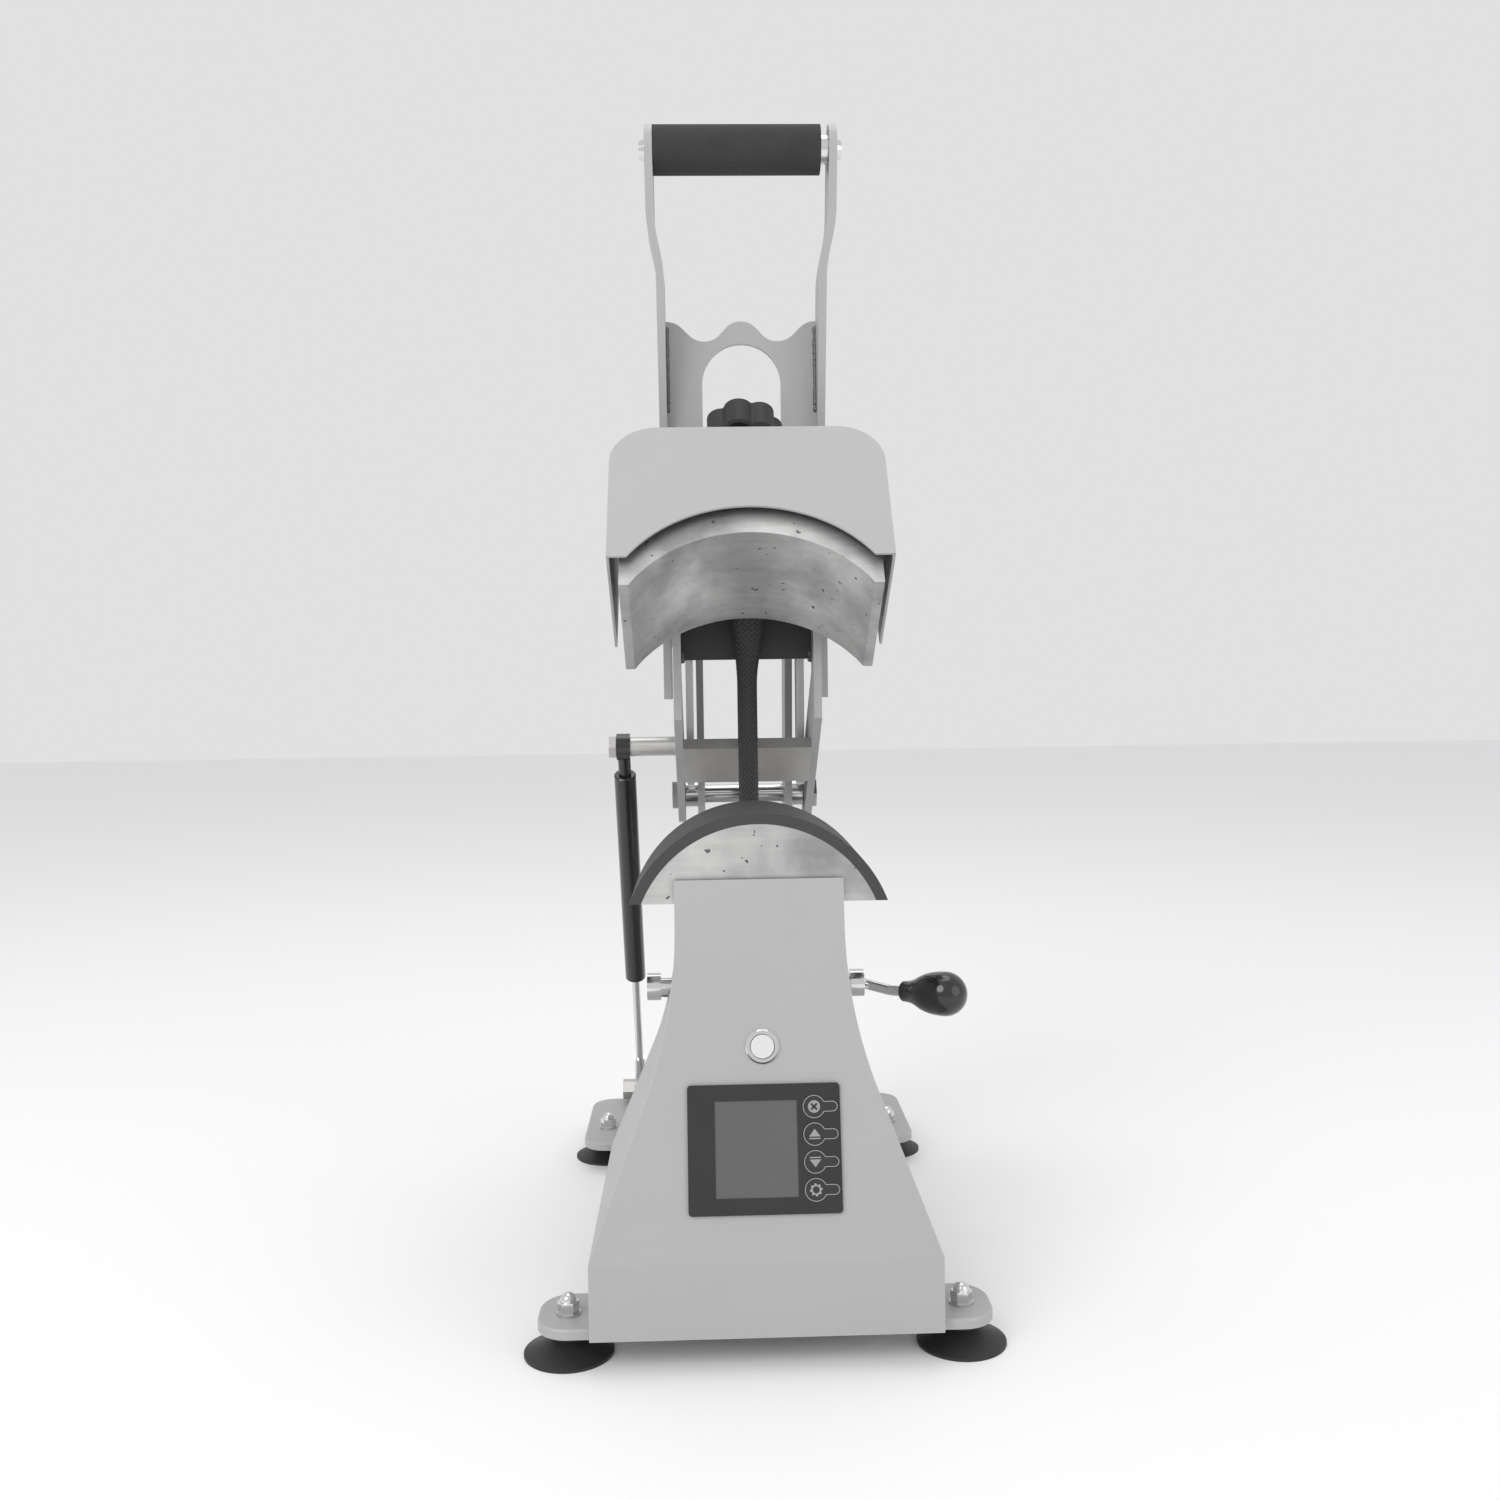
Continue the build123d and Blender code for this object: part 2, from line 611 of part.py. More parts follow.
def cover_body(face, length, side_outline):
    """Cover front outline drawn back to its length and trimmed to its outline from the side."""
    with BuildPart() as body:
        with BuildSketch(front_plane(COVER_FRONT)):
            add(face)
        extrude(amount=-length)
        with BuildSketch(side_plane(-COVER_BASE_HALF)):
            Polygon(*side_outline, align=None)
        extrude(amount=2 * COVER_BASE_HALF, mode=Mode.INTERSECT)
    return body.part


SLOPE_TOP_Y = COVER_FRONT + COVER_SLOPE_RUN
COVER_OUTER_SIDE = (
    (COVER_FRONT, COVER_BOTTOM), (COVER_FRONT, COVER_CREASE), (SLOPE_TOP_Y, COVER_TOP),
    (SLOPE_TOP_Y + SLOPE_WALL, COVER_TOP), (SLOPE_TOP_Y + SLOPE_WALL, COVER_SIDE_TOP),
    (COVER_FRONT + COVER_NECK_DEPTH, COVER_SIDE_TOP), (COVER_FRONT + COVER_NECK_DEPTH, COVER_FLARE_TOP),
    (COVER_FRONT + COVER_BASE_DEPTH, COVER_CREASE), (COVER_FRONT + COVER_BASE_DEPTH, PLATE_TOP),
    (COVER_FRONT + COVER_WALL, PLATE_TOP), (COVER_FRONT + COVER_WALL, COVER_BOTTOM))
COVER_INNER_SIDE = (
    (COVER_FRONT + COVER_WALL, COVER_BOTTOM), (COVER_FRONT + COVER_WALL, COVER_CREASE),
    (SLOPE_TOP_Y + SLOPE_WALL, COVER_TOP), (COVER_FRONT + COVER_BASE_DEPTH + COVER_CLEAR, COVER_TOP),
    (COVER_FRONT + COVER_BASE_DEPTH + COVER_CLEAR, COVER_BOTTOM))
COVER_FLANGE_LENGTH = FRONT_PLATE_DEPTH - 2 * COVER_WALL

cover_shell = cover_body(cover_face(0, COVER_BOTTOM), COVER_BASE_DEPTH, COVER_OUTER_SIDE)
cover_hollow = cover_body(
    cover_face(COVER_WALL, COVER_BOTTOM), COVER_BASE_DEPTH + COVER_CLEAR, COVER_INNER_SIDE)

with BuildPart() as front_cover:
    add(cover_shell)
    add(cover_hollow, mode=Mode.SUBTRACT)
    with BuildSketch(Plane.XY.offset(PLATE_TOP)):
        for side in (-1, 1):
            with Locations((side * (COVER_BASE_HALF - COVER_FLANGE / 2 - COVER_WALL / 2), COVER_FLANGE_Y)):
                Rectangle(COVER_FLANGE, COVER_FLANGE_LENGTH)
        with Locations(*COVER_SCREWS):
            Circle(COVER_SCREW_RADIUS + FIT, mode=Mode.SUBTRACT)
    extrude(amount=COVER_WALL)
    with BuildSketch(slope_plane(COVER_WALL)):
        Rectangle(CASE_WIDTH + 2 * FIT, CASE_HEIGHT + 2 * FIT)
        with Locations((0, BUTTON_V)):
            Circle(BUTTON_BODY_RADIUS + FIT)
    extrude(amount=2 * COVER_WALL, both=True, mode=Mode.SUBTRACT)
    with BuildSketch(side_plane(0)):
        with Locations((CLAMP_Y, CLAMP_Z)):
            Circle(CLAMP_SHAFT_RADIUS + CLAMP_WALL_GAP)
    extrude(amount=COVER_BASE_HALF, both=True, mode=Mode.SUBTRACT)
finish(front_cover.part, "front_cover")

with BuildPart() as cover_screws:
    with BuildSketch(Plane.XY.offset(CUP_HEIGHT)):
        with Locations(*COVER_SCREWS):
            Circle(COVER_SCREW_RADIUS)
    extrude(amount=FOOT_PLATE_THICK + COVER_WALL)
    with BuildSketch(Plane.XY.offset(PLATE_TOP + COVER_WALL)):
        with Locations(*COVER_SCREWS):
            Circle(SCREW_HEAD_RADIUS)
    extrude(amount=SCREW_HEAD_THICK)
finish(cover_screws.part, "cover_screws")

# ---------------------------------------------------------------- lower platen and its post

POST_TOP = PLATEN_BOTTOM
PLATEN_SCREWS = [
    (x, BLOCK_Y + y) for x in (-PLATEN_SCREW_X, PLATEN_SCREW_X) for y in (-PLATEN_SCREW_Y, PLATEN_SCREW_Y)]

with BuildPart() as neck_post:
    with BuildSketch(Plane.XY.offset(DECK)):
        with Locations((0, BLOCK_Y)):
            Rectangle(POST_FOOT_WIDTH, POST_FOOT_DEPTH)
    extrude(amount=POST_FLANGE_THICK)
    with BuildSketch(Plane.XY.offset(DECK)):
        with Locations((0, BLOCK_Y)):
            RectangleRounded(POST_WIDTH, POST_DEPTH, POST_WALL)
    extrude(amount=POST_TOP - DECK)
    with BuildSketch(Plane.XY.offset(POST_TOP)):
        with Locations((0, BLOCK_Y)):
            Rectangle(POST_FLANGE_WIDTH, PLATEN_DEPTH - 2 * POST_WALL)
    extrude(amount=-POST_FLANGE_THICK)
    with BuildSketch(Plane.XY.offset(DECK)):
        with Locations((0, BLOCK_Y)):
            Rectangle(POST_WIDTH - 2 * POST_WALL, POST_DEPTH - 2 * POST_WALL)
    extrude(amount=POST_TOP - DECK, mode=Mode.SUBTRACT)
    with BuildSketch(Plane.XY.offset(POST_TOP)):
        with Locations(*PLATEN_SCREWS):
            Circle(PLATEN_SCREW_RADIUS + FIT)
    extrude(amount=-POST_FLANGE_THICK, mode=Mode.SUBTRACT)
finish(neck_post.part, "neck_post")


def curved_slab(radius, inner, z_cut):
    """Cap-shaped section: a disc of the platen's curve above z_cut, less the disc inside it."""
    with BuildSketch() as section:
        with Locations((0, BLOCK_CURVE_Z)):
            Circle(radius)
            if inner > 0:
                Circle(inner, mode=Mode.SUBTRACT)
        with Locations((0, z_cut + radius)):
            Rectangle(2 * radius, 2 * radius, mode=Mode.INTERSECT)
    return section.sketch


core_section = curved_slab(CORE_CURVE, 0, PLATEN_BOTTOM)
pad_section = curved_slab(PAD_CURVE, CORE_CURVE, PLATEN_BOTTOM)

with BuildPart() as lower_platen:
    with BuildSketch(front_plane(PLATEN_FRONT)):
        add(core_section)
    extrude(amount=-PLATEN_DEPTH)
    with BuildSketch(Plane.XY.offset(PLATEN_BOTTOM)):
        with Locations(*PLATEN_SCREWS):
            Circle(PLATEN_SCREW_RADIUS + FIT)
    extrude(amount=PLATEN_SCREW_BITE + FIT, mode=Mode.SUBTRACT)
finish(lower_platen.part, "lower_platen")

with BuildPart() as silicone_pad:
    with BuildSketch(front_plane(PLATEN_FRONT)):
        add(pad_section)
    extrude(amount=-PLATEN_DEPTH)
finish(silicone_pad.part, "silicone_pad")

with BuildPart() as platen_screws:
    with BuildSketch(Plane.XY.offset(POST_TOP - POST_FLANGE_THICK)):
        with Locations(*PLATEN_SCREWS):
            Circle(PLATEN_SCREW_RADIUS)
    extrude(amount=POST_FLANGE_THICK + PLATEN_SCREW_BITE)
    with BuildSketch(Plane.XY.offset(POST_TOP - POST_FLANGE_THICK)):
        with Locations(*PLATEN_SCREWS):
            RegularPolygon(hexagon_radius(NUT_FLATS), 6)
    extrude(amount=-SCREW_HEAD_THICK)
finish(platen_screws.part, "platen_screws")

# ---------------------------------------------------------------- control panel and start button

with BuildPart() as panel_overlay:
    with BuildSketch(slope_plane()):
        RectangleRounded(PANEL_WIDTH, PANEL_HEIGHT, PANEL_CORNER)
        with Locations((SCREEN_OFFSET, 0)):
            Rectangle(SCREEN_WIDTH + 2 * FIT, SCREEN_HEIGHT + 2 * FIT, mode=Mode.SUBTRACT)
    extrude(amount=PANEL_THICK)
finish(panel_overlay.part, "panel_overlay")

with BuildPart() as lcd_screen:
    with BuildSketch(slope_plane()):
        with Locations((SCREEN_OFFSET, 0)):
            Rectangle(SCREEN_WIDTH, SCREEN_HEIGHT)
    extrude(amount=SCREEN_THICK)
finish(lcd_screen.part, "lcd_screen")

with BuildPart() as panel_keys:
    with BuildSketch(slope_plane(-PANEL_THICK)):
        for key in range(KEY_COUNT):
            key_v = (key - (KEY_COUNT - 1) / 2) * KEY_PITCH
            with Locations((KEY_OFFSET, key_v)):
                Circle(KEY_RADIUS)
            with Locations((KEY_OFFSET + KEY_TAB_REACH / 2, key_v)):
                RectangleRounded(KEY_TAB_REACH, KEY_TAB_HEIGHT, KEY_TAB_HEIGHT / 2 - FIT)
    extrude(amount=KEY_RISE)
finish(panel_keys.part, "panel_keys")

with BuildPart() as controller_case:
    with BuildSketch(slope_plane()):
        Rectangle(CASE_WIDTH, CASE_HEIGHT)
    extrude(amount=-CASE_DEPTH)
    fillet(controller_case.faces().filter_by(slope_plane()).sort_by(Axis.Y)[-1].edges(), CASE_CORNER)
finish(controller_case.part, "controller_case")

BUTTON_BORE = BUTTON_RADIUS + SIDE_GAP

with BuildPart() as button_bezel:
    with BuildSketch(slope_plane()):
        with Locations((0, BUTTON_V)):
            Circle(BUTTON_BEZEL_RADIUS)
    extrude(amount=BUTTON_BEZEL_THICK)
    chamfer(button_bezel.edges().filter_by(GeomType.CIRCLE).sort_by(Axis.Y)[0], EDGE)
    with BuildSketch(slope_plane()):
        with Locations((0, BUTTON_V)):
            Circle(BUTTON_BODY_RADIUS)
    extrude(amount=-BUTTON_BODY_DEPTH)
    with BuildSketch(slope_plane(-BUTTON_BEZEL_THICK)):
        with Locations((0, BUTTON_V)):
            Circle(BUTTON_BORE)
    extrude(amount=-(BUTTON_BEZEL_THICK + BUTTON_CAP_DEPTH + BUTTON_TRAVEL), mode=Mode.SUBTRACT)
finish(button_bezel.part, "button_bezel")

with BuildPart() as button_nut:
    with BuildSketch(slope_plane(COVER_WALL)):
        with Locations((0, BUTTON_V)):
            RegularPolygon(hexagon_radius(BUTTON_NUT_FLATS), 6)
            Circle(BUTTON_BODY_RADIUS + FIT, mode=Mode.SUBTRACT)
    extrude(amount=-BUTTON_NUT_THICK)
finish(button_nut.part, "button_nut")

with BuildPart() as button_cap:
    with BuildSketch(slope_plane(-BUTTON_PROUD)):
        with Locations((0, BUTTON_V)):
            Circle(BUTTON_RADIUS)
    extrude(amount=-(BUTTON_PROUD + BUTTON_CAP_DEPTH - SIDE_GAP))
    fillet(button_cap.edges().filter_by(GeomType.CIRCLE).sort_by(Axis.Y)[0], EDGE)
finish(button_cap.part, "button_cap")

# ---------------------------------------------------------------- tower and shafts

BEAM_OUTER = BEAM_INNER + PLATE_THICK
TOWER_OUTER = TOWER_INNER + PLATE_THICK


def hull_of(points, radius):
    """Outline that wraps equal circles at the points."""
    with BuildSketch() as hull:
        with Locations(*points):
            Circle(radius)
        make_hull()
    return hull.sketch


tower_top = hull_of([(HINGE_Y, HINGE_Z), (ARM_HINGE_Y, ARM_HINGE_Z)], TOWER_BOSS)
TOWER_MIDDLE = (TOWER_FOOT_FRONT + TOWER_FOOT_BACK) / 2


def tower_plate(side):
    """One upright of the tower, with its foot, on the side -1 or +1."""
    with BuildPart() as plate:
        with BuildSketch(side_plane(side * TOWER_INNER)):
            add(tower_top)
            Polygon(
                (TOWER_FOOT_FRONT, DECK), (TOWER_FOOT_BACK, DECK),
                (HINGE_Y + TOWER_BACK_REACH, TOWER_WAIST_Z), (HINGE_Y + TOWER_BOSS, HINGE_Z),
                (HINGE_Y - TOWER_BOSS, HINGE_Z), (HINGE_Y - TOWER_FRONT_REACH, TOWER_WAIST_Z),
                align=None)
            with Locations((HINGE_Y, HINGE_Z), (ARM_HINGE_Y, ARM_HINGE_Z)):
                Circle(SHAFT_RADIUS + FIT, mode=Mode.SUBTRACT)
        extrude(amount=side * PLATE_THICK)
        with BuildSketch(Plane.XY.offset(DECK)):
            with Locations((side * (TOWER_OUTER + TOWER_FOOT_WIDTH / 2), TOWER_MIDDLE)):
                Rectangle(TOWER_FOOT_WIDTH, TOWER_FOOT_BACK - TOWER_FOOT_FRONT)
        extrude(amount=PLATE_THICK)
    return plate.part


finish(tower_plate(-1), "tower_plate_left")
finish(tower_plate(1), "tower_plate_right")


def cross_shaft(y, z, collar_from, collar_to, end):
    """A shaft through the tower with a collar outside each upright and a hexagon head at each end."""
    with BuildPart() as shaft:
        with BuildSketch(side_plane(0)):
            with Locations((y, z)):
                Circle(SHAFT_RADIUS)
        extrude(amount=end, both=True)
        for side in (-1, 1):
            with BuildSketch(side_plane(side * collar_from)):
                with Locations((y, z)):
                    Circle(SHAFT_COLLAR)
            extrude(amount=side * (collar_to - collar_from))
            with BuildSketch(side_plane(side * end)):
                with Locations((y, z)):
                    RegularPolygon(hexagon_radius(SHAFT_HEAD_FLATS), 6)
            extrude(amount=side * SHAFT_HEAD_THICK)
    return shaft.part


beam_shaft = cross_shaft(HINGE_Y, HINGE_Z, TOWER_OUTER, BEAM_INNER - SIDE_GAP, BEAM_OUTER + SIDE_GAP)
finish(beam_shaft, "beam_shaft")
arm_shaft = cross_shaft(ARM_HINGE_Y, ARM_HINGE_Z, TOWER_OUTER, ARM_INNER - SIDE_GAP, ARM_OUTER + SIDE_GAP)
finish(arm_shaft, "arm_shaft")

ARMATURE_BOTTOM = BEAM_HEEL_Z - ARMATURE_DROP
MAGNET_TOP = ARMATURE_BOTTOM - MAGNET_GAP
SHELF_TOP = MAGNET_TOP - MAGNET_HEIGHT

with BuildPart() as magnet_shelf:
    with BuildSketch(Plane.XY.offset(SHELF_TOP)):
        Polygon(
            (-TOWER_INNER, MAGNET_Y - SHELF_REACH), (TOWER_INNER, MAGNET_Y - SHELF_REACH),
            (TOWER_INNER, HINGE_Y), (-TOWER_INNER, HINGE_Y), align=None)
    extrude(amount=-SHELF_THICK)
    for side in (-1, 1):
        with BuildSketch(side_plane(side * TOWER_INNER)):
            Polygon(
                (MAGNET_Y, SHELF_TOP - SHELF_THICK), (HINGE_Y, SHELF_TOP - SHELF_THICK),
                (HINGE_Y, SHELF_TOP - SHELF_THICK - SHELF_REACH), align=None)
        extrude(amount=-side * SHELF_THICK)
finish(magnet_shelf.part, "magnet_shelf")

with BuildPart() as electromagnet:
    with BuildSketch(Plane.XY.offset(SHELF_TOP)):
        with Locations((0, MAGNET_Y)):
            Circle(MAGNET_RADIUS)
    extrude(amount=MAGNET_HEIGHT)
    with BuildSketch(Plane.XY.offset(MAGNET_TOP)):
        with Locations((0, MAGNET_Y)):
            Circle(MAGNET_CORE_RADIUS + MAGNET_GROOVE)
            Circle(MAGNET_CORE_RADIUS, mode=Mode.SUBTRACT)
    extrude(amount=-MAGNET_GROOVE_DEPTH, mode=Mode.SUBTRACT)
finish(electromagnet.part, "electromagnet")

# ---------------------------------------------------------------- beam


def beam_plate(side):
    with BuildPart() as plate:
        with BuildSketch(head_side(side * BEAM_INNER)):
            with Locations((HINGE_Y, HINGE_Z)):
                Circle(BEAM_BOSS)
            Polygon(
                (HINGE_Y, HINGE_Z + BEAM_BOSS), (BEAM_KNEE_Y, BEAM_KNEE_Z),
                (BEAM_SHOULDER_Y, BEAM_NOSE_TOP), (BEAM_NOSE_Y, BEAM_NOSE_TOP),
                (BEAM_NOSE_Y, BEAM_NOSE_BOTTOM), (BEAM_ELBOW_Y, BEAM_NOSE_BOTTOM),
                (BEAM_HEEL_Y, BEAM_HEEL_Z), (HINGE_Y, HINGE_Z - BEAM_BOSS), align=None)
            with Locations((HINGE_Y, HINGE_Z)):
                Circle(SHAFT_RADIUS + RUNNING, mode=Mode.SUBTRACT)
            with Locations(closed_yz(*LINK_BEAM)):
                Circle(LINK_PIN_RADIUS + FIT, mode=Mode.SUBTRACT)
            if side < 0:
                with Locations(closed_yz(STRUT_TOP_Y, STRUT_TOP_Z)):
                    Circle(STRUT_STUD_RADIUS + FIT, mode=Mode.SUBTRACT)
        extrude(amount=side * PLATE_THICK)
    return plate.part


finish(beam_plate(-1), "beam_plate_left")
finish(beam_plate(1), "beam_plate_right")

WEB_RUN = Vector(BEAM_SHOULDER_Y - BEAM_KNEE_Y, BEAM_NOSE_TOP - BEAM_KNEE_Z).normalized()
WEB_IN = Vector(-WEB_RUN.Y, WEB_RUN.X)


def web_corner(along, deep):
    """A corner of the beam's web: along the plates' rear edge from the knee, and in from it."""
    corner = Vector(BEAM_KNEE_Y, BEAM_KNEE_Z) + WEB_RUN * along + WEB_IN * deep
    return (corner.X, corner.Y)


with BuildPart() as bridge_plate:
    with BuildSketch(head_level(BRIDGE_BOTTOM)):
        with Locations((0, SCREW_Y)):
            Rectangle(2 * BEAM_INNER, 2 * BRIDGE_HALF_DEPTH)
    extrude(amount=BRIDGE_THICK)
    with BuildSketch(head_level(BRIDGE_BOTTOM)):
        with Locations((0, SCREW_Y)):
            Circle(BOSS_RADIUS)
    extrude(amount=BRIDGE_THICK + BOSS_HEIGHT)
    with BuildSketch(head_level(BRIDGE_BOTTOM)):
        with Locations((0, SCREW_Y)):
            Circle(SCREW_RADIUS + RUNNING)
        with Locations((-GUIDE_SPACING, SCREW_Y), (GUIDE_SPACING, SCREW_Y)):
            Circle(GUIDE_RADIUS + RUNNING)
    extrude(amount=BRIDGE_THICK + BOSS_HEIGHT, mode=Mode.SUBTRACT)
    with BuildSketch(head_side(-BEAM_INNER)):
        Polygon(
            web_corner(WEB_START, WEB_INSET), web_corner(WEB_END, WEB_INSET),
            web_corner(WEB_END, WEB_INSET + WEB_THICK), web_corner(WEB_START, WEB_INSET + WEB_THICK),
            align=None)
    extrude(amount=2 * BEAM_INNER)
finish(bridge_plate.part, "bridge_plate")

with BuildPart() as armature_plate:
    with BuildSketch(head_level(ARMATURE_BOTTOM)):
        with Locations((0, MAGNET_Y)):
            Rectangle(2 * BEAM_INNER, 2 * MAGNET_RADIUS)
    extrude(amount=ARMATURE_THICK)
finish(armature_plate.part, "armature_plate")

with BuildPart() as link_pins:
    for side in (-1, 1):
        with BuildSketch(side_plane(side * (LINK_INNER - SIDE_GAP))):
            with Locations(LINK_BEAM):
                Circle(LINK_PIN_RADIUS)
        extrude(amount=side * (BEAM_OUTER - LINK_INNER + SIDE_GAP))
        with BuildSketch(side_plane(side * (LINK_INNER - SIDE_GAP))):
            with Locations(LINK_BEAM):
                Circle(LINK_PIN_HEAD)
        extrude(amount=-side * LINK_HEAD_THICK)
finish(link_pins.part, "link_pins")

STRUT_SIDE = STRUT_X + STRUT_EYE_WIDTH / 2 + SIDE_GAP
STRUT_OUTSIDE = STRUT_X - STRUT_EYE_WIDTH / 2 - SIDE_GAP

with BuildPart() as strut_stud:
    with BuildSketch(side_plane(-BEAM_INNER)):
        with Locations((STRUT_TOP_Y, STRUT_TOP_Z)):
            Circle(STRUT_STUD_RADIUS)
    extrude(amount=STRUT_OUTSIDE + BEAM_INNER)
    with BuildSketch(side_plane(-BEAM_OUTER)):
        with Locations((STRUT_TOP_Y, STRUT_TOP_Z)):
            Circle(STRUT_COLLAR)
    extrude(amount=STRUT_SIDE + BEAM_OUTER)
    with BuildSketch(side_plane(STRUT_OUTSIDE)):
        with Locations((STRUT_TOP_Y, STRUT_TOP_Z)):
            RegularPolygon(hexagon_radius(STRUT_NUT_FLATS), 6)
    extrude(amount=-STRUT_NUT_THICK / 2)
finish(strut_stud.part, "strut_stud")

# ---------------------------------------------------------------- heating head

with BuildPart() as heating_block:
    with BuildSketch(head_front(BLOCK_Y - PLATEN_DEPTH / 2)):
        with Locations((0, (BLOCK_TOP + BLOCK_BOTTOM) / 2)):
            Rectangle(BLOCK_WIDTH, BLOCK_TOP - BLOCK_BOTTOM)
        with Locations((0, BLOCK_CURVE_Z)):
            Circle(BLOCK_CURVE, mode=Mode.SUBTRACT)
    extrude(amount=-PLATEN_DEPTH)
    with BuildSketch(head_front(BLOCK_Y + PLATEN_DEPTH / 2)):
        with Locations(*HEATER_SPOTS):
            Circle(HEATER_RADIUS + FIT)
    extrude(amount=PLATEN_DEPTH - HEATER_END, mode=Mode.SUBTRACT)
    with BuildSketch(head_front(BLOCK_Y + PLATEN_DEPTH / 2)):
        with Locations((0, PROBE_Z)):
            Circle(PROBE_RADIUS + FIT)
    extrude(amount=PROBE_DEPTH, mode=Mode.SUBTRACT)
finish(heating_block.part, "heating_block")

with BuildPart() as heater_rods:
    with BuildSketch(head_front(BLOCK_Y + PLATEN_DEPTH / 2 + HEATER_PROUD)):
        with Locations(*HEATER_SPOTS):
            Circle(HEATER_RADIUS)
    extrude(amount=HEATER_PROUD + PLATEN_DEPTH - HEATER_END)
finish(heater_rods.part, "heater_rods")

with BuildPart() as thermocouple:
    with BuildSketch(head_front(BLOCK_Y + PLATEN_DEPTH / 2 + PROBE_PROUD)):
        with Locations((0, PROBE_Z)):
            Circle(PROBE_RADIUS)
    extrude(amount=PROBE_PROUD + PROBE_DEPTH)
finish(thermocouple.part, "thermocouple")

with BuildPart() as insulation_pad:
    with BuildSketch(head_level(BLOCK_TOP)):
        with Locations((0, BLOCK_Y)):
            Rectangle(BLOCK_WIDTH - 2 * INSULATION_INSET, PLATEN_DEPTH - 2 * INSULATION_INSET)
    extrude(amount=INSULATION_THICK)
finish(insulation_pad.part, "insulation_pad")

TAB_FACE = HEAD_WIDTH / 2 - HEAD_WALL
HEAD_SCREWS = [
    (SCREW_Y + step * HEAD_SCREW_SPACING / 2, CARRIER_TOP + HEAD_SCREW_RISE) for step in (-1, 1)]

with BuildPart() as carrier_plate:
    with BuildSketch(head_level(CARRIER_BOTTOM)):
        with Locations((0, BLOCK_Y)):
            Rectangle(2 * CARRIER_HALF, PLATEN_DEPTH - 2 * INSULATION_INSET)
        with Locations((0, SCREW_Y)):
            Rectangle(2 * TAB_FACE, CARRIER_TAB_DEPTH)
    extrude(amount=CARRIER_THICK)
    with BuildSketch(head_level(CARRIER_BOTTOM)):
        for side in (-1, 1):
            with Locations((side * (TAB_FACE - CARRIER_THICK / 2), SCREW_Y)):
                Rectangle(CARRIER_THICK, CARRIER_TAB_DEPTH)
    extrude(amount=CARRIER_TAB_RISE)
    with BuildSketch(head_level(CARRIER_TOP)):
        with Locations((0, SCREW_Y)):
            Circle(SOCKET_RADIUS)
            Circle(SCREW_RADIUS + RUNNING, mode=Mode.SUBTRACT)
    extrude(amount=SOCKET_HEIGHT)
    with BuildSketch(head_level(CARRIER_TOP)):
        with Locations((-GUIDE_SPACING, SCREW_Y), (GUIDE_SPACING, SCREW_Y)):
            Circle(GUIDE_RADIUS)
    extrude(amount=GUIDE_TOP - CARRIER_TOP)
    with BuildSketch(head_side(0)):
        with Locations(*HEAD_SCREWS):
            Circle(HEAD_SCREW_RADIUS + FIT)
    extrude(amount=HEAD_WIDTH, both=True, mode=Mode.SUBTRACT)
finish(carrier_plate.part, "carrier_plate")

ARCH_RADIUS = (ARCH_HALF_CHORD ** 2 + ARCH_RISE ** 2) / (2 * ARCH_RISE)


def head_outline(inset):
    """Head cover seen from the front, with its two round top corners."""
    half = HEAD_WIDTH / 2 - inset
    top = HEAD_TOP - inset
    corner = HEAD_CORNER - inset
    with BuildSketch() as outline:
        with BuildLine():
            Polyline((-half, top - corner), (-half, HEAD_BOTTOM), (half, HEAD_BOTTOM), (half, top - corner))
            RadiusArc((half, top - corner), (half - corner, top), -corner)
            Line((half - corner, top), (-half + corner, top))
            RadiusArc((-half + corner, top), (-half, top - corner), -corner)
        make_face()
    return outline.sketch


head_outside = head_outline(0)
head_inside = head_outline(HEAD_WALL)

with BuildPart() as head_cover:
    with BuildSketch(head_front(HEAD_FRONT)):
        add(head_outside)
    extrude(amount=-HEAD_DEPTH)
    with BuildSketch(head_front(HEAD_FRONT + HEAD_WALL)):
        add(head_inside)
    extrude(amount=-HEAD_DEPTH, mode=Mode.SUBTRACT)
    with BuildSketch(head_front(HEAD_FRONT)):
        with Locations((0, HEAD_BOTTOM + ARCH_RISE - ARCH_RADIUS)):
            Circle(ARCH_RADIUS)
    extrude(amount=-HEAD_WALL, mode=Mode.SUBTRACT)
    with BuildSketch(head_level(HEAD_TOP)):
        with Locations((0, SCREW_Y)):
            Circle(KNOB_HOLE)
    extrude(amount=-HEAD_WALL, mode=Mode.SUBTRACT)
    with BuildSketch(head_side(0)):
        with Locations(*HEAD_SCREWS):
            Circle(HEAD_SCREW_RADIUS + FIT)
    extrude(amount=HEAD_WIDTH, both=True, mode=Mode.SUBTRACT)
finish(head_cover.part, "head_cover")

with BuildPart() as head_cover_screws:
    for side in (-1, 1):
        with BuildSketch(head_side(side * HEAD_WIDTH / 2)):
            with Locations(*HEAD_SCREWS):
                Circle(HEAD_SCREW_RADIUS)
        extrude(amount=-side * (HEAD_WALL + CARRIER_THICK))
        with BuildSketch(head_side(side * HEAD_WIDTH / 2)):
            with Locations(*HEAD_SCREWS):
                Circle(HEAD_SCREW_HEAD)
        extrude(amount=side * HEAD_SCREW_RADIUS, taper=HEAD_SCREW_TAPER)
finish(head_cover_screws.part, "head_cover_screws")

# ---------------------------------------------------------------- pressure screw and star knob

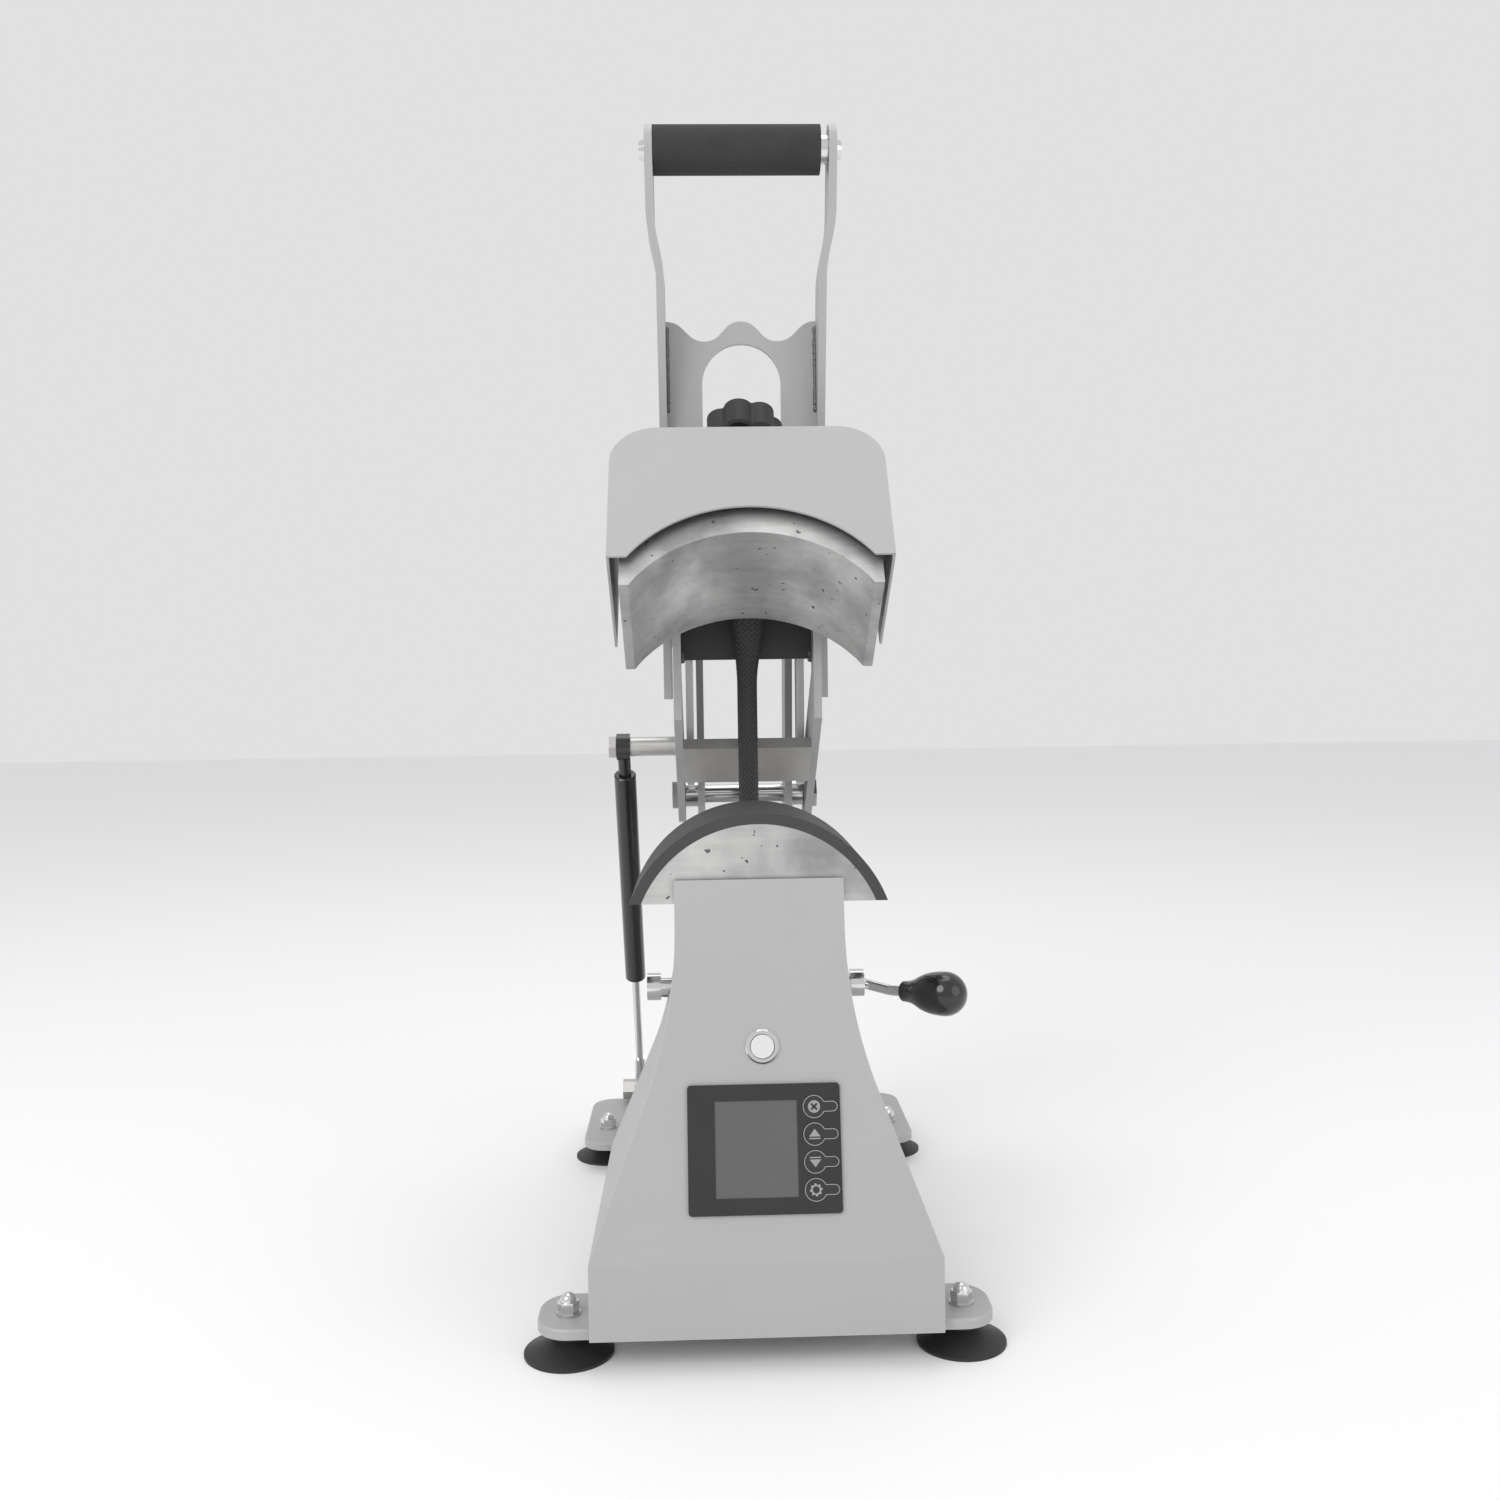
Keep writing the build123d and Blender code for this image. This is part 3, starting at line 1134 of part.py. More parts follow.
with BuildPart() as pressure_screw:
    with BuildSketch(head_level(CARRIER_TOP + SIDE_GAP)):
        with Locations((0, SCREW_Y)):
            Circle(SCREW_RADIUS)
    extrude(amount=KNOB_TOP - KNOB_HEIGHT / 2 - CARRIER_TOP - SIDE_GAP)
    with BuildSketch(head_level(CARRIER_TOP + SOCKET_HEIGHT + SIDE_GAP)):
        with Locations((0, SCREW_Y)):
            Circle(SCREW_FLANGE)
    extrude(amount=SCREW_FLANGE_THICK)
finish(pressure_screw.part, "pressure_screw")

with BuildSketch() as knob_star:
    Circle(KNOB_CORE_RADIUS)
    with PolarLocations(KNOB_RADIUS - KNOB_LOBE_RADIUS, KNOB_LOBES):
        Circle(KNOB_LOBE_RADIUS)
    fillet(knob_star.vertices(), KNOB_VALLEY)

with BuildPart() as pressure_knob:
    with BuildSketch(head_level(KNOB_TOP)):
        with Locations((0, SCREW_Y)):
            add(knob_star.sketch)
    extrude(amount=-KNOB_HEIGHT)
    chamfer(pressure_knob.faces().filter_by(head_level(0)).edges(), KNOB_EDGE)
    with BuildSketch(head_level(KNOB_HUB_BOTTOM)):
        with Locations((0, SCREW_Y)):
            Circle(KNOB_HUB_RADIUS)
    extrude(amount=KNOB_TOP - KNOB_HEIGHT - KNOB_HUB_BOTTOM)
    with BuildSketch(head_level(KNOB_HUB_BOTTOM)):
        with Locations((0, SCREW_Y)):
            Circle(SCREW_RADIUS + FIT)
    extrude(amount=KNOB_TOP - KNOB_HEIGHT / 2 - KNOB_HUB_BOTTOM + FIT, mode=Mode.SUBTRACT)
finish(pressure_knob.part, "pressure_knob")

# ---------------------------------------------------------------- pressure links

link_outline = hull_of([LINK_BEAM, LINK_ARM], LINK_EYE)

with BuildPart() as pressure_links:
    for side in (-1, 1):
        with BuildSketch(side_plane(side * LINK_INNER)):
            add(link_outline)
            with Locations(LINK_BEAM):
                Circle(LINK_PIN_RADIUS + RUNNING, mode=Mode.SUBTRACT)
            with Locations(LINK_ARM):
                Circle(LINK_PIN_RADIUS + LINK_FLOAT, mode=Mode.SUBTRACT)
        extrude(amount=side * PLATE_THICK)
finish(pressure_links.part, "pressure_links")

# ---------------------------------------------------------------- handle arms

ARM_LEAN = atan2(ARM_FRONT_Y + ARM_STRIP / 2 - HANDLE_Y, HANDLE_Z - ARM_BEND_Z)
LEAN_Y = HANDLE_END_RADIUS * cos(ARM_LEAN)
LEAN_Z = HANDLE_END_RADIUS * sin(ARM_LEAN)
ARM_SIDE = (
    (ARM_FRONT_Y, ARM_TAIL_Z), (ARM_FRONT_Y, ARM_BEND_Z), (HANDLE_Y - LEAN_Y, HANDLE_Z - LEAN_Z),
    (HANDLE_Y + LEAN_Y, HANDLE_Z + LEAN_Z), (ARM_FRONT_Y + ARM_STRIP, ARM_BEND_Z),
    (ARM_FRONT_Y + ARM_ROOT_STRIP, ARM_HINGE_Z + 2 * TOWER_BOSS), (ARM_FRONT_Y + ARM_ROOT_STRIP, ARM_TAIL_Z))
arm_root = hull_of([(ARM_HINGE_Y, ARM_HINGE_Z), (ARM_FRONT_Y + TOWER_BOSS, ARM_HINGE_Z)], TOWER_BOSS)
STRIP_TOP = HANDLE_Z + HANDLE_END_RADIUS


def bent_edge(x, side):
    """Front outline of one face of the bent strip, from its tail up."""
    return [(side * x, ARM_TAIL_Z), (side * x, ARM_FLARE_START),
            (side * (x + ARM_FLARE), ARM_FLARE_END), (side * (x + ARM_FLARE), STRIP_TOP)]


def arm(side):
    """One handle arm: its outline from the side, kept where the bent strip seen from the front is."""
    with BuildPart() as plate:
        with BuildSketch(side_plane(side * (ARM_INNER - PLATE_THICK))):
            Polygon(*ARM_SIDE, align=None)
            with Locations((HANDLE_Y, HANDLE_Z)):
                Circle(HANDLE_END_RADIUS)
            add(arm_root)
            with Locations((HANDLE_Y, HANDLE_Z)):
                Circle(HANDLE_BOLT_RADIUS + FIT, mode=Mode.SUBTRACT)
            with Locations((ARM_HINGE_Y, ARM_HINGE_Z)):
                Circle(SHAFT_RADIUS + RUNNING, mode=Mode.SUBTRACT)
            with Locations(LINK_ARM):
                Circle(LINK_PIN_RADIUS + FIT, mode=Mode.SUBTRACT)
        extrude(amount=side * (ARM_FLARE + 3 * PLATE_THICK))
        with BuildSketch(front_plane(ARM_HINGE_Y + 2 * TOWER_BOSS)):
            with BuildLine():
                for low, start, end, high in (bent_edge(ARM_INNER, side), bent_edge(ARM_OUTER, side)):
                    Line(low, start)
                    Spline(start, end, tangents=((0, 1), (0, 1)))
                    Line(end, high)
                Line(bent_edge(ARM_INNER, side)[0], bent_edge(ARM_OUTER, side)[0])
                Line(bent_edge(ARM_INNER, side)[-1], bent_edge(ARM_OUTER, side)[-1])
            make_face()
        extrude(amount=ARM_HINGE_Y + 4 * TOWER_BOSS, mode=Mode.INTERSECT)
    return plate.part


finish(arm(-1), "arm_left")
finish(arm(1), "arm_right")

HUMP_POINTS = [
    (ARM_INNER, CROSS_PLATE_TOP), (HUMP_SPREAD, CROSS_PLATE_VALLEY), (0, CROSS_PLATE_TOP),
    (-HUMP_SPREAD, CROSS_PLATE_VALLEY), (-ARM_INNER, CROSS_PLATE_TOP)]

with BuildPart() as cross_plate:
    with BuildSketch(front_plane(CROSS_PLATE_Y)):
        with BuildLine():
            Polyline(
                (-ARM_INNER, CROSS_PLATE_TOP), (-ARM_INNER, CROSS_PLATE_BOTTOM),
                (ARM_INNER, CROSS_PLATE_BOTTOM), (ARM_INNER, CROSS_PLATE_TOP))
            for start, end in zip(HUMP_POINTS, HUMP_POINTS[1:]):
                Spline(start, end, tangents=((-1, 0), (-1, 0)))
        make_face()
        with Locations((0, (WINDOW_TOP + WINDOW_BOTTOM) / 2)):
            SlotOverall(WINDOW_TOP - WINDOW_BOTTOM, 2 * WINDOW_HALF, rotation=90, mode=Mode.SUBTRACT)
    extrude(amount=-PLATE_THICK)
finish(cross_plate.part, "cross_plate")

with BuildPart() as arm_pins:
    for side in (-1, 1):
        with BuildSketch(side_plane(side * (LINK_INNER - SIDE_GAP))):
            with Locations(LINK_ARM):
                Circle(LINK_PIN_RADIUS)
        extrude(amount=side * (ARM_OUTER - LINK_INNER + SIDE_GAP))
        with BuildSketch(side_plane(side * (LINK_INNER - SIDE_GAP))):
            with Locations(LINK_ARM):
                Circle(LINK_PIN_HEAD)
        extrude(amount=-side * LINK_HEAD_THICK)
        with BuildSketch(side_plane(side * (LINK_INNER + PLATE_THICK + SIDE_GAP))):
            with Locations(LINK_ARM):
                Circle(LINK_PIN_HEAD)
        extrude(amount=side * (ARM_INNER - LINK_INNER - PLATE_THICK - SIDE_GAP))
        with BuildSketch(side_plane(side * ARM_OUTER)):
            with Locations(LINK_ARM):
                RegularPolygon(hexagon_radius(PIN_NUT_FLATS), 6)
        extrude(amount=side * SHAFT_HEAD_THICK)
finish(arm_pins.part, "arm_pins")

with BuildPart() as handle_tube:
    with BuildSketch(side_plane(0)):
        with Locations((HANDLE_Y, HANDLE_Z)):
            Circle(HANDLE_TUBE_RADIUS)
    extrude(amount=HANDLE_INNER, both=True)
    with BuildSketch(side_plane(0)):
        with Locations((HANDLE_Y, HANDLE_Z)):
            Circle(HANDLE_BOLT_RADIUS + FIT)
    extrude(amount=HANDLE_INNER, both=True, mode=Mode.SUBTRACT)
finish(handle_tube.part, "handle_tube")

with BuildPart() as foam_grip:
    with BuildSketch(side_plane(-HANDLE_INNER)):
        with Locations((HANDLE_Y, HANDLE_Z)):
            Circle(GRIP_RADIUS)
            Circle(HANDLE_TUBE_RADIUS + FIT, mode=Mode.SUBTRACT)
    extrude(amount=GRIP_LENGTH)
finish(foam_grip.part, "foam_grip")

HANDLE_OUTER = HANDLE_INNER + PLATE_THICK

with BuildPart() as handle_bolts:
    for side in (-1, 1):
        with BuildSketch(side_plane(side * HANDLE_OUTER)):
            with Locations((HANDLE_Y, HANDLE_Z)):
                Circle(HANDLE_BOLT_RADIUS)
        extrude(amount=-side * (PLATE_THICK + HANDLE_BOLT_DEPTH))
        with BuildSketch(side_plane(side * HANDLE_OUTER)):
            with Locations((HANDLE_Y, HANDLE_Z)):
                Circle(HANDLE_BOLT_HEAD)
        extrude(amount=side * HANDLE_BOLT_HEAD_THICK, taper=HANDLE_BOLT_TAPER)
finish(handle_bolts.part, "handle_bolts")

# ---------------------------------------------------------------- gas strut

STRUT_LENGTH = hypot(STRUT_TOP_Y - STRUT_FOOT_Y, STRUT_TOP_Z - STRUT_FOOT_Z)
STRUT_DIR = Vector(0, STRUT_TOP_Y - STRUT_FOOT_Y, STRUT_TOP_Z - STRUT_FOOT_Z).normalized()


def strut_plane(distance):
    """Plane square across the strut, at a distance from its foot stud."""
    foot = Vector(STRUT_X, STRUT_FOOT_Y, STRUT_FOOT_Z)
    return Plane(origin=foot + STRUT_DIR * distance, x_dir=(1, 0, 0), z_dir=STRUT_DIR)


with BuildPart() as strut_bracket:
    with BuildSketch(side_plane(STRUT_SIDE)):
        Polygon(
            (STRUT_BRACKET_FRONT, PLATE_TOP), (STRUT_BRACKET_FRONT, STRUT_FOOT_Z),
            (STRUT_FOOT_Y - STRUT_EYE_RADIUS, STRUT_BRACKET_TOP), (STRUT_BRACKET_BACK, STRUT_BRACKET_TOP),
            (STRUT_BRACKET_BACK, PLATE_TOP), align=None)
    extrude(amount=STRUT_BRACKET_THICK)
    with BuildSketch(side_plane(STRUT_SIDE)):
        with Locations((STRUT_FOOT_Y, STRUT_FOOT_Z)):
            Circle(STRUT_STUD_RADIUS)
    extrude(amount=STRUT_OUTSIDE - STRUT_SIDE)
    with BuildSketch(side_plane(STRUT_OUTSIDE)):
        with Locations((STRUT_FOOT_Y, STRUT_FOOT_Z)):
            RegularPolygon(hexagon_radius(STRUT_NUT_FLATS), 6)
    extrude(amount=-STRUT_NUT_THICK)
finish(strut_bracket.part, "strut_bracket")

STRUT_HALF_EYE = STRUT_EYE_WIDTH / 2

with BuildPart() as strut_rod:
    with BuildSketch(side_plane(STRUT_X - STRUT_HALF_EYE)):
        with Locations((STRUT_FOOT_Y, STRUT_FOOT_Z)):
            Circle(STRUT_EYE_RADIUS)
    extrude(amount=STRUT_EYE_WIDTH)
    with BuildSketch(strut_plane(STRUT_EYE_RADIUS / 2)):
        Circle(STRUT_FITTING_RADIUS)
    extrude(amount=STRUT_FITTING_LENGTH - STRUT_EYE_RADIUS / 2)
    with BuildSketch(strut_plane(STRUT_FITTING_LENGTH)):
        Circle(STRUT_ROD_RADIUS)
    extrude(amount=STRUT_ROD_LENGTH - STRUT_FITTING_LENGTH)
    with BuildSketch(strut_plane(STRUT_ROD_LENGTH)):
        Circle(STRUT_PISTON_RADIUS)
    extrude(amount=-STRUT_PISTON_LENGTH)
    with BuildSketch(side_plane(STRUT_X - STRUT_HALF_EYE)):
        with Locations((STRUT_FOOT_Y, STRUT_FOOT_Z)):
            Circle(STRUT_STUD_RADIUS + RUNNING)
    extrude(amount=STRUT_EYE_WIDTH, mode=Mode.SUBTRACT)
finish(strut_rod.part, "strut_rod")

STRUT_TUBE_END = STRUT_LENGTH - STRUT_TUBE_END_GAP

with BuildPart() as strut_cylinder:
    with BuildSketch(strut_plane(STRUT_TUBE_START)):
        Circle(STRUT_TUBE_RADIUS)
    extrude(amount=STRUT_TUBE_END - STRUT_TUBE_START)
    chamfer(strut_cylinder.edges().filter_by(GeomType.CIRCLE), EDGE)
    with BuildSketch(strut_plane(STRUT_TUBE_END)):
        Circle(STRUT_TOP_NECK)
    extrude(amount=STRUT_TUBE_END_GAP - STRUT_TOP_EYE / 2)
    with BuildSketch(side_plane(STRUT_X - STRUT_HALF_EYE)):
        with Locations((STRUT_TOP_Y, STRUT_TOP_Z)):
            Circle(STRUT_TOP_EYE)
    extrude(amount=STRUT_EYE_WIDTH)
    with BuildSketch(side_plane(STRUT_X - STRUT_HALF_EYE)):
        with Locations((STRUT_TOP_Y, STRUT_TOP_Z)):
            Circle(STRUT_STUD_RADIUS + STRUT_FLOAT)
    extrude(amount=STRUT_EYE_WIDTH, mode=Mode.SUBTRACT)
    with BuildSketch(strut_plane(STRUT_TUBE_START + STRUT_TUBE_CAP)):
        Circle(STRUT_PISTON_RADIUS + RUNNING)
    extrude(amount=STRUT_TUBE_END - STRUT_TUBE_START - 2 * STRUT_TUBE_CAP, mode=Mode.SUBTRACT)
    with BuildSketch(strut_plane(STRUT_TUBE_START)):
        Circle(STRUT_ROD_RADIUS + RUNNING)
    extrude(amount=STRUT_TUBE_CAP, mode=Mode.SUBTRACT)
finish(strut_cylinder.part, "strut_cylinder")

# ---------------------------------------------------------------- cap clamp

with BuildPart() as clamp_brackets:
    for side in (-1, 1):
        with BuildSketch(side_plane(side * POST_WIDTH / 2)):
            with Locations((CLAMP_Y, CLAMP_Z)):
                Circle(CLAMP_BRACKET_RADIUS)
            with Locations((CLAMP_Y - CLAMP_BRACKET_REACH / 2, CLAMP_Z)):
                Rectangle(CLAMP_BRACKET_REACH, 2 * CLAMP_BRACKET_RADIUS)
            with Locations((CLAMP_Y, CLAMP_Z)):
                Circle(CLAMP_SHAFT_RADIUS + RUNNING, mode=Mode.SUBTRACT)
        extrude(amount=side * CLAMP_BRACKET_THICK)
finish(clamp_brackets.part, "clamp_brackets")



def clamp_point(offset):
    """A point given from the right-hand end of the clamp shaft."""
    return Vector(CLAMP_SHAFT_HALF + offset[0], CLAMP_Y + offset[1], CLAMP_Z + offset[2])


LEVER_START = clamp_point((-LEVER_ROOT, 0, 0))
KNEE = clamp_point(LEVER_KNEE)
KNOB_SEAT = clamp_point(LEVER_END)

with BuildPart() as clamp_lever:
    with BuildSketch(side_plane(0)):
        with Locations((CLAMP_Y, CLAMP_Z)):
            Circle(CLAMP_SHAFT_RADIUS)
    extrude(amount=CLAMP_SHAFT_HALF, both=True)
    with BuildLine():
        FilletPolyline(LEVER_START, KNEE, KNOB_SEAT, radius=LEVER_BEND)
    with BuildSketch(Plane(origin=LEVER_START, z_dir=KNEE - LEVER_START)):
        Circle(LEVER_ROD_RADIUS)
    sweep()
finish(clamp_lever.part, "clamp_lever")

KNOB_DIR = (KNOB_SEAT - KNEE).normalized()
KNOB_FRAME = Plane(origin=KNOB_SEAT - KNOB_DIR * LEVER_KNOB_BORE, z_dir=KNOB_DIR)
KNOB_PROFILE = Plane(origin=KNOB_FRAME.origin, x_dir=KNOB_FRAME.x_dir, z_dir=KNOB_FRAME.y_dir * -1)
KNOB_BALL = LEVER_KNOB_LENGTH - LEVER_KNOB_RADIUS

with BuildPart() as clamp_knob:
    with BuildSketch(KNOB_PROFILE):
        with BuildLine():
            Line((0, 0), (LEVER_KNOB_NECK, 0))
            Spline(
                (LEVER_KNOB_NECK, 0), (LEVER_KNOB_SHOULDER, KNOB_BALL / 2), (LEVER_KNOB_RADIUS, KNOB_BALL),
                tangents=((0, 1), (0, 1)))
            RadiusArc((LEVER_KNOB_RADIUS, KNOB_BALL), (0, LEVER_KNOB_LENGTH), -LEVER_KNOB_RADIUS)
            Line((0, LEVER_KNOB_LENGTH), (0, 0))
        make_face()
    revolve(axis=Axis(KNOB_FRAME.origin, KNOB_DIR))
    with BuildSketch(KNOB_FRAME):
        Circle(LEVER_ROD_RADIUS + FIT)
    extrude(amount=LEVER_KNOB_BORE + FIT, mode=Mode.SUBTRACT)
finish(clamp_knob.part, "clamp_knob")

BAIL_X = CLAMP_SHAFT_HALF - CLAMP_HUB_WIDTH / 2
BAIL_FALL = BAIL_DROP / BAIL_REACH
BAIL_ENDS = [
    Vector(-BAIL_X, CLAMP_Y + BAIL_ROOT, CLAMP_Z - BAIL_ROOT * BAIL_FALL),
    Vector(-BAIL_X, CLAMP_Y + BAIL_REACH, CLAMP_Z - BAIL_DROP),
    Vector(BAIL_X, CLAMP_Y + BAIL_REACH, CLAMP_Z - BAIL_DROP),
    Vector(BAIL_X, CLAMP_Y + BAIL_ROOT, CLAMP_Z - BAIL_ROOT * BAIL_FALL)]

with BuildPart() as clamp_bail:
    for side in (-1, 1):
        with BuildSketch(side_plane(side * (CLAMP_SHAFT_HALF - CLAMP_HUB_WIDTH))):
            with Locations((CLAMP_Y, CLAMP_Z)):
                Circle(CLAMP_HUB_RADIUS)
                Circle(CLAMP_SHAFT_RADIUS + FIT, mode=Mode.SUBTRACT)
        extrude(amount=side * CLAMP_HUB_WIDTH)
    with BuildLine():
        FilletPolyline(*BAIL_ENDS, radius=BAIL_BEND)
    with BuildSketch(Plane(origin=BAIL_ENDS[0], z_dir=BAIL_ENDS[1] - BAIL_ENDS[0])):
        Circle(BAIL_WIRE)
    sweep()
finish(clamp_bail.part, "clamp_bail")

# ---------------------------------------------------------------- loom

LOOM_POINTS = [(0, y, z) for y, z in LOOM_ROUTE]


def corner_radii(points):
    """For each corner, the largest arc that 0.45 of its shorter run allows."""
    radii = []
    for before, corner, after in zip(points, points[1:], points[2:]):
        run_in = Vector(*corner) - Vector(*before)
        run_out = Vector(*after) - Vector(*corner)
        half_turn = radians(run_in.get_angle(run_out)) / 2
        radii.append(ARC_SHARE * min(run_in.length, run_out.length) * cos(half_turn) / sin(half_turn))
    return radii


LOOM_RADII = corner_radii(LOOM_POINTS)

with BuildPart() as loom_sleeve:
    with BuildLine():
        FilletPolyline(*LOOM_POINTS, radius=LOOM_RADII)
    first_run = Vector(*LOOM_POINTS[1]) - Vector(*LOOM_POINTS[0])
    with BuildSketch(Plane(origin=LOOM_POINTS[0], x_dir=(1, 0, 0), z_dir=first_run)):
        Circle(LOOM_RADIUS)
    sweep()
    with BuildSketch(Plane(origin=LOOM_POINTS[0], x_dir=(1, 0, 0), z_dir=first_run * -1)):
        Circle(LOOM_RADIUS)
    with BuildSketch(Plane(origin=(0, *LOOM_TOP), x_dir=(1, 0, 0), z_dir=first_run * -1)):
        Circle(LOOM_TOP_RADIUS)
    loft()
finish(loom_sleeve.part, "loom_sleeve")
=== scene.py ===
# %% [markdown]
# A cap heat press, dressed over its CAD frame. The frame brings every rigid piece at its real
# place and size, so this script only gives those pieces their finishes and adds what CAD leaves
# out: the braided sleeve, the signs on the panel, the welds and the small wires.

# %% Load the frame and measure it
import bpy
import json
import math
from mathutils import Matrix, Vector


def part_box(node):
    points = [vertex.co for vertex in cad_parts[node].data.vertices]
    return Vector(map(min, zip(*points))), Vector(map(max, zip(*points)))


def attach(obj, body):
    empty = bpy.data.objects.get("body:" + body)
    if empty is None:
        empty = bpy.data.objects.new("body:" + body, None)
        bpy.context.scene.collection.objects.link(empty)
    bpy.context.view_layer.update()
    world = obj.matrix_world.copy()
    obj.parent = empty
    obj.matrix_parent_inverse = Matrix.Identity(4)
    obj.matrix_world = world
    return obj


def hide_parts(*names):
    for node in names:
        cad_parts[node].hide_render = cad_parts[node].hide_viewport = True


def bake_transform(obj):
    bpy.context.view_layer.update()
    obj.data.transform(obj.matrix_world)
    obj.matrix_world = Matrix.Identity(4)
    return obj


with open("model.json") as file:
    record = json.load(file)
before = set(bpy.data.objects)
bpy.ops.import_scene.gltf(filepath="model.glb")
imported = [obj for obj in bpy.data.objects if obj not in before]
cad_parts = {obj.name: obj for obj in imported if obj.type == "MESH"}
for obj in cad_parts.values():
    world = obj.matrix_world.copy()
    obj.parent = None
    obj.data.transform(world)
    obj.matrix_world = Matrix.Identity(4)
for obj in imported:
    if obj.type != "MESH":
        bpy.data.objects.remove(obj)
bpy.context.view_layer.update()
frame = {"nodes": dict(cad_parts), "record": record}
nodes = frame["nodes"]

# %% [markdown]
# The photograph looks straight at the front from just above the panel, slightly to the left.
# A camera needs a place, two angles and a lens. They were solved from the corners of the head,
# the panel and the feet, so the same corners land on the same spots of the picture.

# %% Camera
CAMERA_PLACE = Vector((-0.0273, -0.9189, 0.3569))
CAMERA_YAW = math.radians(1.79)
CAMERA_DOWN = math.radians(2.89)
CAMERA_ROLL = math.radians(0.8)
CAMERA_LENS = 33.85

side_way = Vector((math.cos(CAMERA_YAW), -math.sin(CAMERA_YAW), 0))
look_way = Vector((
    math.sin(CAMERA_YAW) * math.cos(CAMERA_DOWN), math.cos(CAMERA_YAW) * math.cos(CAMERA_DOWN),
    -math.sin(CAMERA_DOWN)))
top_way = side_way.cross(look_way)
right_way = side_way * math.cos(CAMERA_ROLL) - top_way * math.sin(CAMERA_ROLL)
up_way = side_way * math.sin(CAMERA_ROLL) + top_way * math.cos(CAMERA_ROLL)
camera_data = bpy.data.cameras.new("camera")
camera_data.lens = CAMERA_LENS
camera_data.sensor_width = 36
camera_data.clip_start = 0.01
camera = bpy.data.objects.new("camera", camera_data)
camera.matrix_world = Matrix.Translation(CAMERA_PLACE) @ Matrix(
    (right_way, up_way, -look_way)).transposed().to_4x4()
bpy.context.collection.objects.link(camera)
bpy.context.scene.camera = camera
print("camera lens", camera_data.lens, "mm")

# %% [markdown]
# The press stands on a pale floor in soft studio light. A wide lamp from the front left gives
# the form, a weaker one from the right fills it, and one from above lights the tops of plates.
# Area lamps are used because their size, not their power, is what makes the shadows soft.

# %% Floor and lights
def lamp(name, place, target, size, power):
    data = bpy.data.lights.new(name, "AREA")
    data.shape = "DISK"
    data.size = size
    data.energy = power
    light = bpy.data.objects.new(name, data)
    light.location = place
    light.rotation_euler = (Vector(target) - Vector(place)).to_track_quat("-Z", "Y").to_euler()
    bpy.context.collection.objects.link(light)


floor_mesh = bpy.data.meshes.new("floor")
floor_mesh.from_pydata([(-6, -6, 0), (6, -6, 0), (6, 6, 0), (-6, 6, 0)], [], [(0, 1, 2, 3)])
floor = bpy.data.objects.new("floor", floor_mesh)
bpy.context.collection.objects.link(floor)
floor_finish = bpy.data.materials.new("pale floor")
floor_finish.use_nodes = True
floor_finish.node_tree.nodes["Principled BSDF"].inputs["Base Color"].default_value = (0.92, 0.92, 0.92, 1)
floor_finish.node_tree.nodes["Principled BSDF"].inputs["Roughness"].default_value = 0.7
floor_mesh.materials.append(floor_finish)
world = bpy.data.worlds.new("studio")
world.use_nodes = True
world.node_tree.nodes["Background"].inputs["Color"].default_value = (1, 1, 1, 1)
world.node_tree.nodes["Background"].inputs["Strength"].default_value = 0.75
bpy.context.scene.world = world
bpy.context.scene.view_settings.view_transform = "Standard"
lamp("key", (-1.3, -1.7, 1.7), (0, -0.05, 0.35), 1.6, 22)
lamp("fill", (1.7, -1.4, 0.9), (0, 0, 0.3), 1.8, 7)
lamp("top", (0.1, 0.3, 2.3), (0, 0, 0.2), 1.6, 9)
print("floor and three lamps")

# %% [markdown]
# Several finishes share the same small effects: the fine orange peel of a coat, a slow mottle in
# its tone, and edges rubbed a little lighter. Each effect is a node group, built once, whose
# outputs are only values and normals. The shader itself stays in each material.

# %% Shader groups
def new_group(name, inputs, outputs):
    """A shader node group; inputs are (name, default) floats, outputs are (name, socket type)."""
    group = bpy.data.node_groups.new(name, "ShaderNodeTree")
    for label, value in inputs:
        entry = group.interface.new_socket(label, in_out="INPUT", socket_type="NodeSocketFloat")
        entry.default_value = value
    for label, kind in outputs:
        group.interface.new_socket(label, in_out="OUTPUT", socket_type=kind)
    return group, group.nodes.new("NodeGroupInput"), group.nodes.new("NodeGroupOutput")


def value_math(tree, operation, first, second=None):
    """A Math node; each operand is a socket or a number."""
    node = tree.nodes.new("ShaderNodeMath")
    node.operation = operation
    for slot, operand in enumerate((first, second)):
        if operand is None:
            continue
        if isinstance(operand, (int, float)):
            node.inputs[slot].default_value = operand
        else:
            tree.links.new(operand, node.inputs[slot])
    return node.outputs[0]


